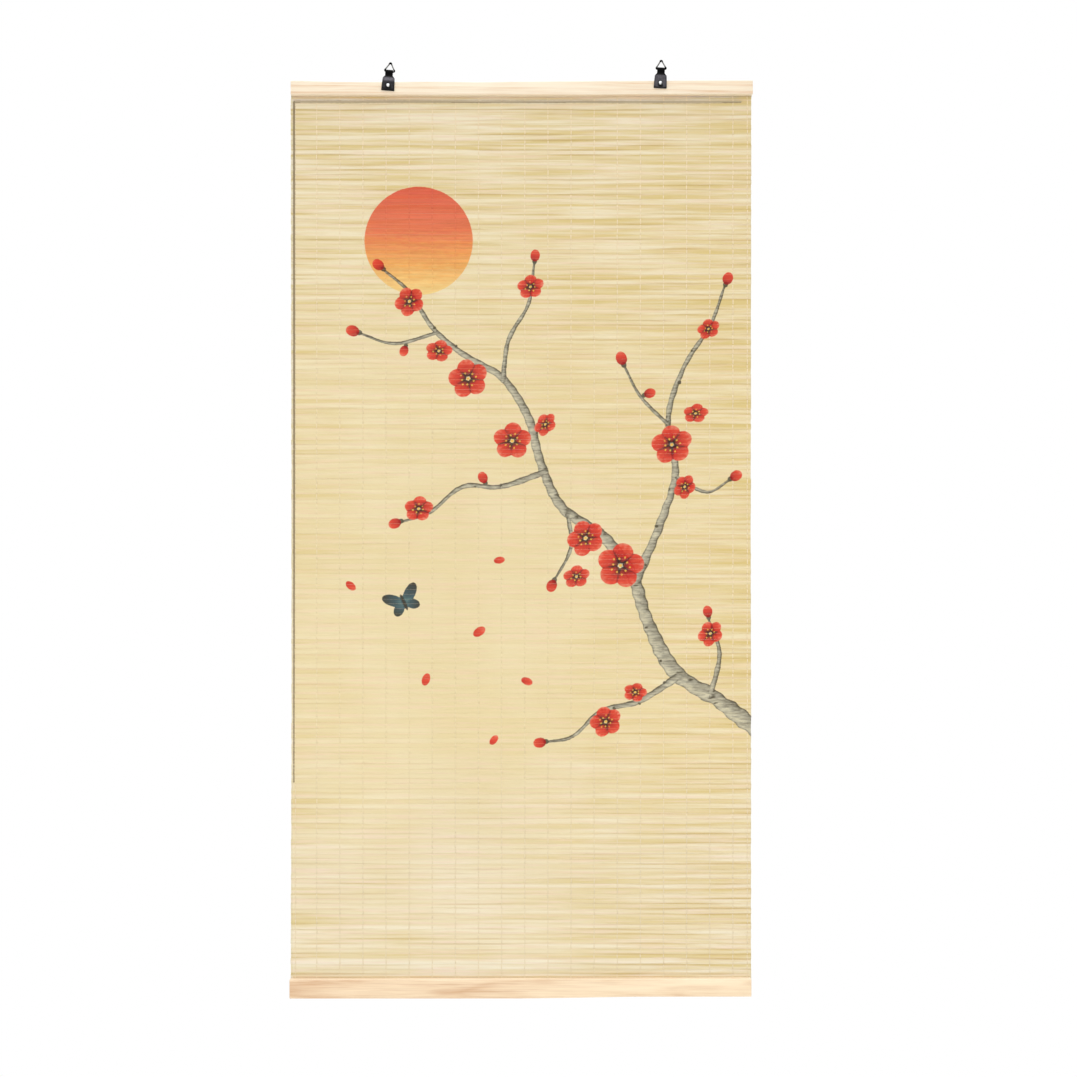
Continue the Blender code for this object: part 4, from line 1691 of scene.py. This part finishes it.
@dataclass
class Studio:
    """The camera at the photograph's angle, a pale floor far below, and soft light from above the front."""

    eye: tuple[float, float, float] = (18.66 * MM, -1608.6 * MM, -496.4 * MM)
    eye_to_battens: float = 1600 * MM
    seen_across: float = 1168.1 * MM
    sensor: float = 36.0
    target: tuple[float, float, float] = (0.0, 0.0, -0.5)
    lamp_size: Point = (2.4, 2.4)
    lamp_watts: float = 54.0
    lamp_colour: str = "#FFFDF8"
    floor_drop: float = 2.2
    floor_radius: float = 3.0
    ambient: float = 0.42
    overhead: float = 0.6
    poles: float = 0.9

    def build_camera(self) -> None:
        """Makes the camera, which looks level along +Y."""
        camera = bpy.data.cameras.new("camera")
        camera.sensor_width = self.sensor
        camera.lens = self.sensor * self.eye_to_battens / self.seen_across
        camera.clip_start, camera.clip_end = 0.05, 60.0
        obj = new_object("camera", camera)
        obj.location = self.eye
        obj.rotation_euler = (math.pi / 2, 0.0, 0.0)
        bpy.context.scene.camera = obj

    def build_light(self, name: str, place: Sequence[float]) -> None:
        """Makes a soft box that points at the mat's middle.

        Args:
            name: the lamp's name.
            place: where it stands.
        """
        lamp = bpy.data.lights.new(name, "AREA")
        lamp.shape = "RECTANGLE"
        lamp.size, lamp.size_y = self.lamp_size
        lamp.energy = self.lamp_watts
        lamp.color = linear_colour(self.lamp_colour)[:3]
        obj = new_object(name, lamp)
        obj.visible_camera = False
        obj.location = place
        away = np.array(self.target) - np.array(place)
        level = math.hypot(away[0], away[1])
        obj.rotation_euler = (math.atan2(level, -away[2]), 0.0, math.atan2(-away[0], away[1]))

    def build_world(self) -> None:
        """Makes the surroundings: white to the eye, dimmer as a light, so that soft boxes shape the relief.

        Their light is strongest from straight above, and a little stronger from straight below than from
        low down.
        """
        world = bpy.data.worlds.new("studio")
        bpy.context.scene.world = world
        world.use_nodes = True
        tree = world.node_tree
        tree.nodes.clear()
        add = partial(add_node, tree)
        height = add("SeparateXYZ", add("TexCoord").outputs["Generated"]).outputs["Z"]
        slope = add("Math", height, self.poles, self.overhead, operation="MULTIPLY_ADD")
        strength = add("Math", height, slope, self.ambient, operation="MULTIPLY_ADD")
        seen = add("Background", WHITE, 1.0)
        lit = add("Background", WHITE, strength)
        add("OutputWorld", add("MixShader", add("LightPath").outputs["Is Camera Ray"], lit, seen))

    def build_floor(self) -> None:
        """Makes the floor, a disc."""
        bm = bmesh.new()
        bmesh.ops.create_circle(bm, cap_ends=True, segments=96, radius=self.floor_radius)
        for vert in bm.verts:
            vert.co.z = -self.floor_drop
        floor = from_bmesh("floor", bm)
        floor.data.materials.append(FloorPaint().build())

    def build(self) -> None:
        """Makes the whole studio."""
        self.build_camera()
        self.build_light("key", (-0.4, -4.1, 0.5))
        self.build_light("back", (0.4, 4.1, 0.5))
        self.build_world()
        self.build_floor()
        bpy.context.scene.view_settings.view_transform = "Standard"


# side, x and z of the ring's bar, the lean of the strap and of the ring in degrees, how far the ring has
# slid to the right in the fold, and how strong the painted sheen is on the shoulders and on the foot
HANGERS = (
    ("left", -143.15 * MM, 9.6 * MM, 4.8, 7.8, 0.4 * MM, 1.0, 0.3),
    ("right", 151.5 * MM, 12.2 * MM, 2.8, 1.0, 0.0, 0.66, 0.6),
)

# for each edge of a batten: x and how far the edge lies above its solid's, in millimetres
TOP_OUTER = ((-250, 0.4), (-235, 0.2), (-207, -0.9), (-175, -1.2), (-100, -0.7), (-45, -1.4), (-10, -0.8),
             (85, 0.0), (194, 0.7), (250, 0.7))
TOP_LIP = ((-250, -0.3), (60, -0.6), (130, 0.1), (250, 0.4))
BOTTOM_OUTER = ((-250, -1.3), (0, -1.2), (60, -0.4), (120, 0.7), (250, 0.8))
BOTTOM_LIP = ((-250, -0.5), (40, -0.1), (250, 0.4))

TOP_PINE = PlanedPine(
    "planed_pine_top", pith=(20 * MM, -58 * MM), lean=(0.0, 0.014), early="#FCF0D9", late="#E4BA90",
    ring=6.2 * MM, tinge=0.16, contrast=0.8, palest=0.02, deepening=1.5, upward_highlight=0.0)
BOTTOM_PINE = PlanedPine(
    "planed_pine_bottom", pith=(38 * MM, -987 * MM), lean=(0.024, 0.012), early="#FCE8C8", late="#CFA37B",
    ring=5.2 * MM, tinge=0.46, contrast=0.7, palest=0.24, deepening=0.9, upward_highlight=0.3)


def main() -> None:
    """Builds the blind from the mat outwards, then the studio."""
    logging.basicConfig(level=logging.INFO, format="%(name)s: %(message)s")
    Studio().build()
    artwork = make_print()
    rows = SlatRows.from_solid()
    log.info("%d slats", rows.count)
    mats = SlatMat(rows, artwork).build(SplitBamboo().build())
    threads = WarpThreads(rows, artwork).build(CottonThread().build())
    upper = Batten("top_batten", True, TOP_OUTER, TOP_LIP).build(TOP_PINE.build())
    lower = Batten("bottom_batten", False, BOTTOM_OUTER, BOTTOM_LIP).build(BOTTOM_PINE.build())
    enamel, wire, nickel = StovedEnamel().build(), DrawnWire().build(), NickelPlate().build()
    for row in HANGERS:
        hanger = Hanger(*row)
        hanger.build_strap(enamel)
        hanger.build_ring(wire)
        hanger.build_screw(nickel)
    for mat, thread, batten, slats in zip(mats, threads, (upper, lower), rows.halves().values()):
        rows.flat_size(slats)


if __name__ == "__main__":
    main()
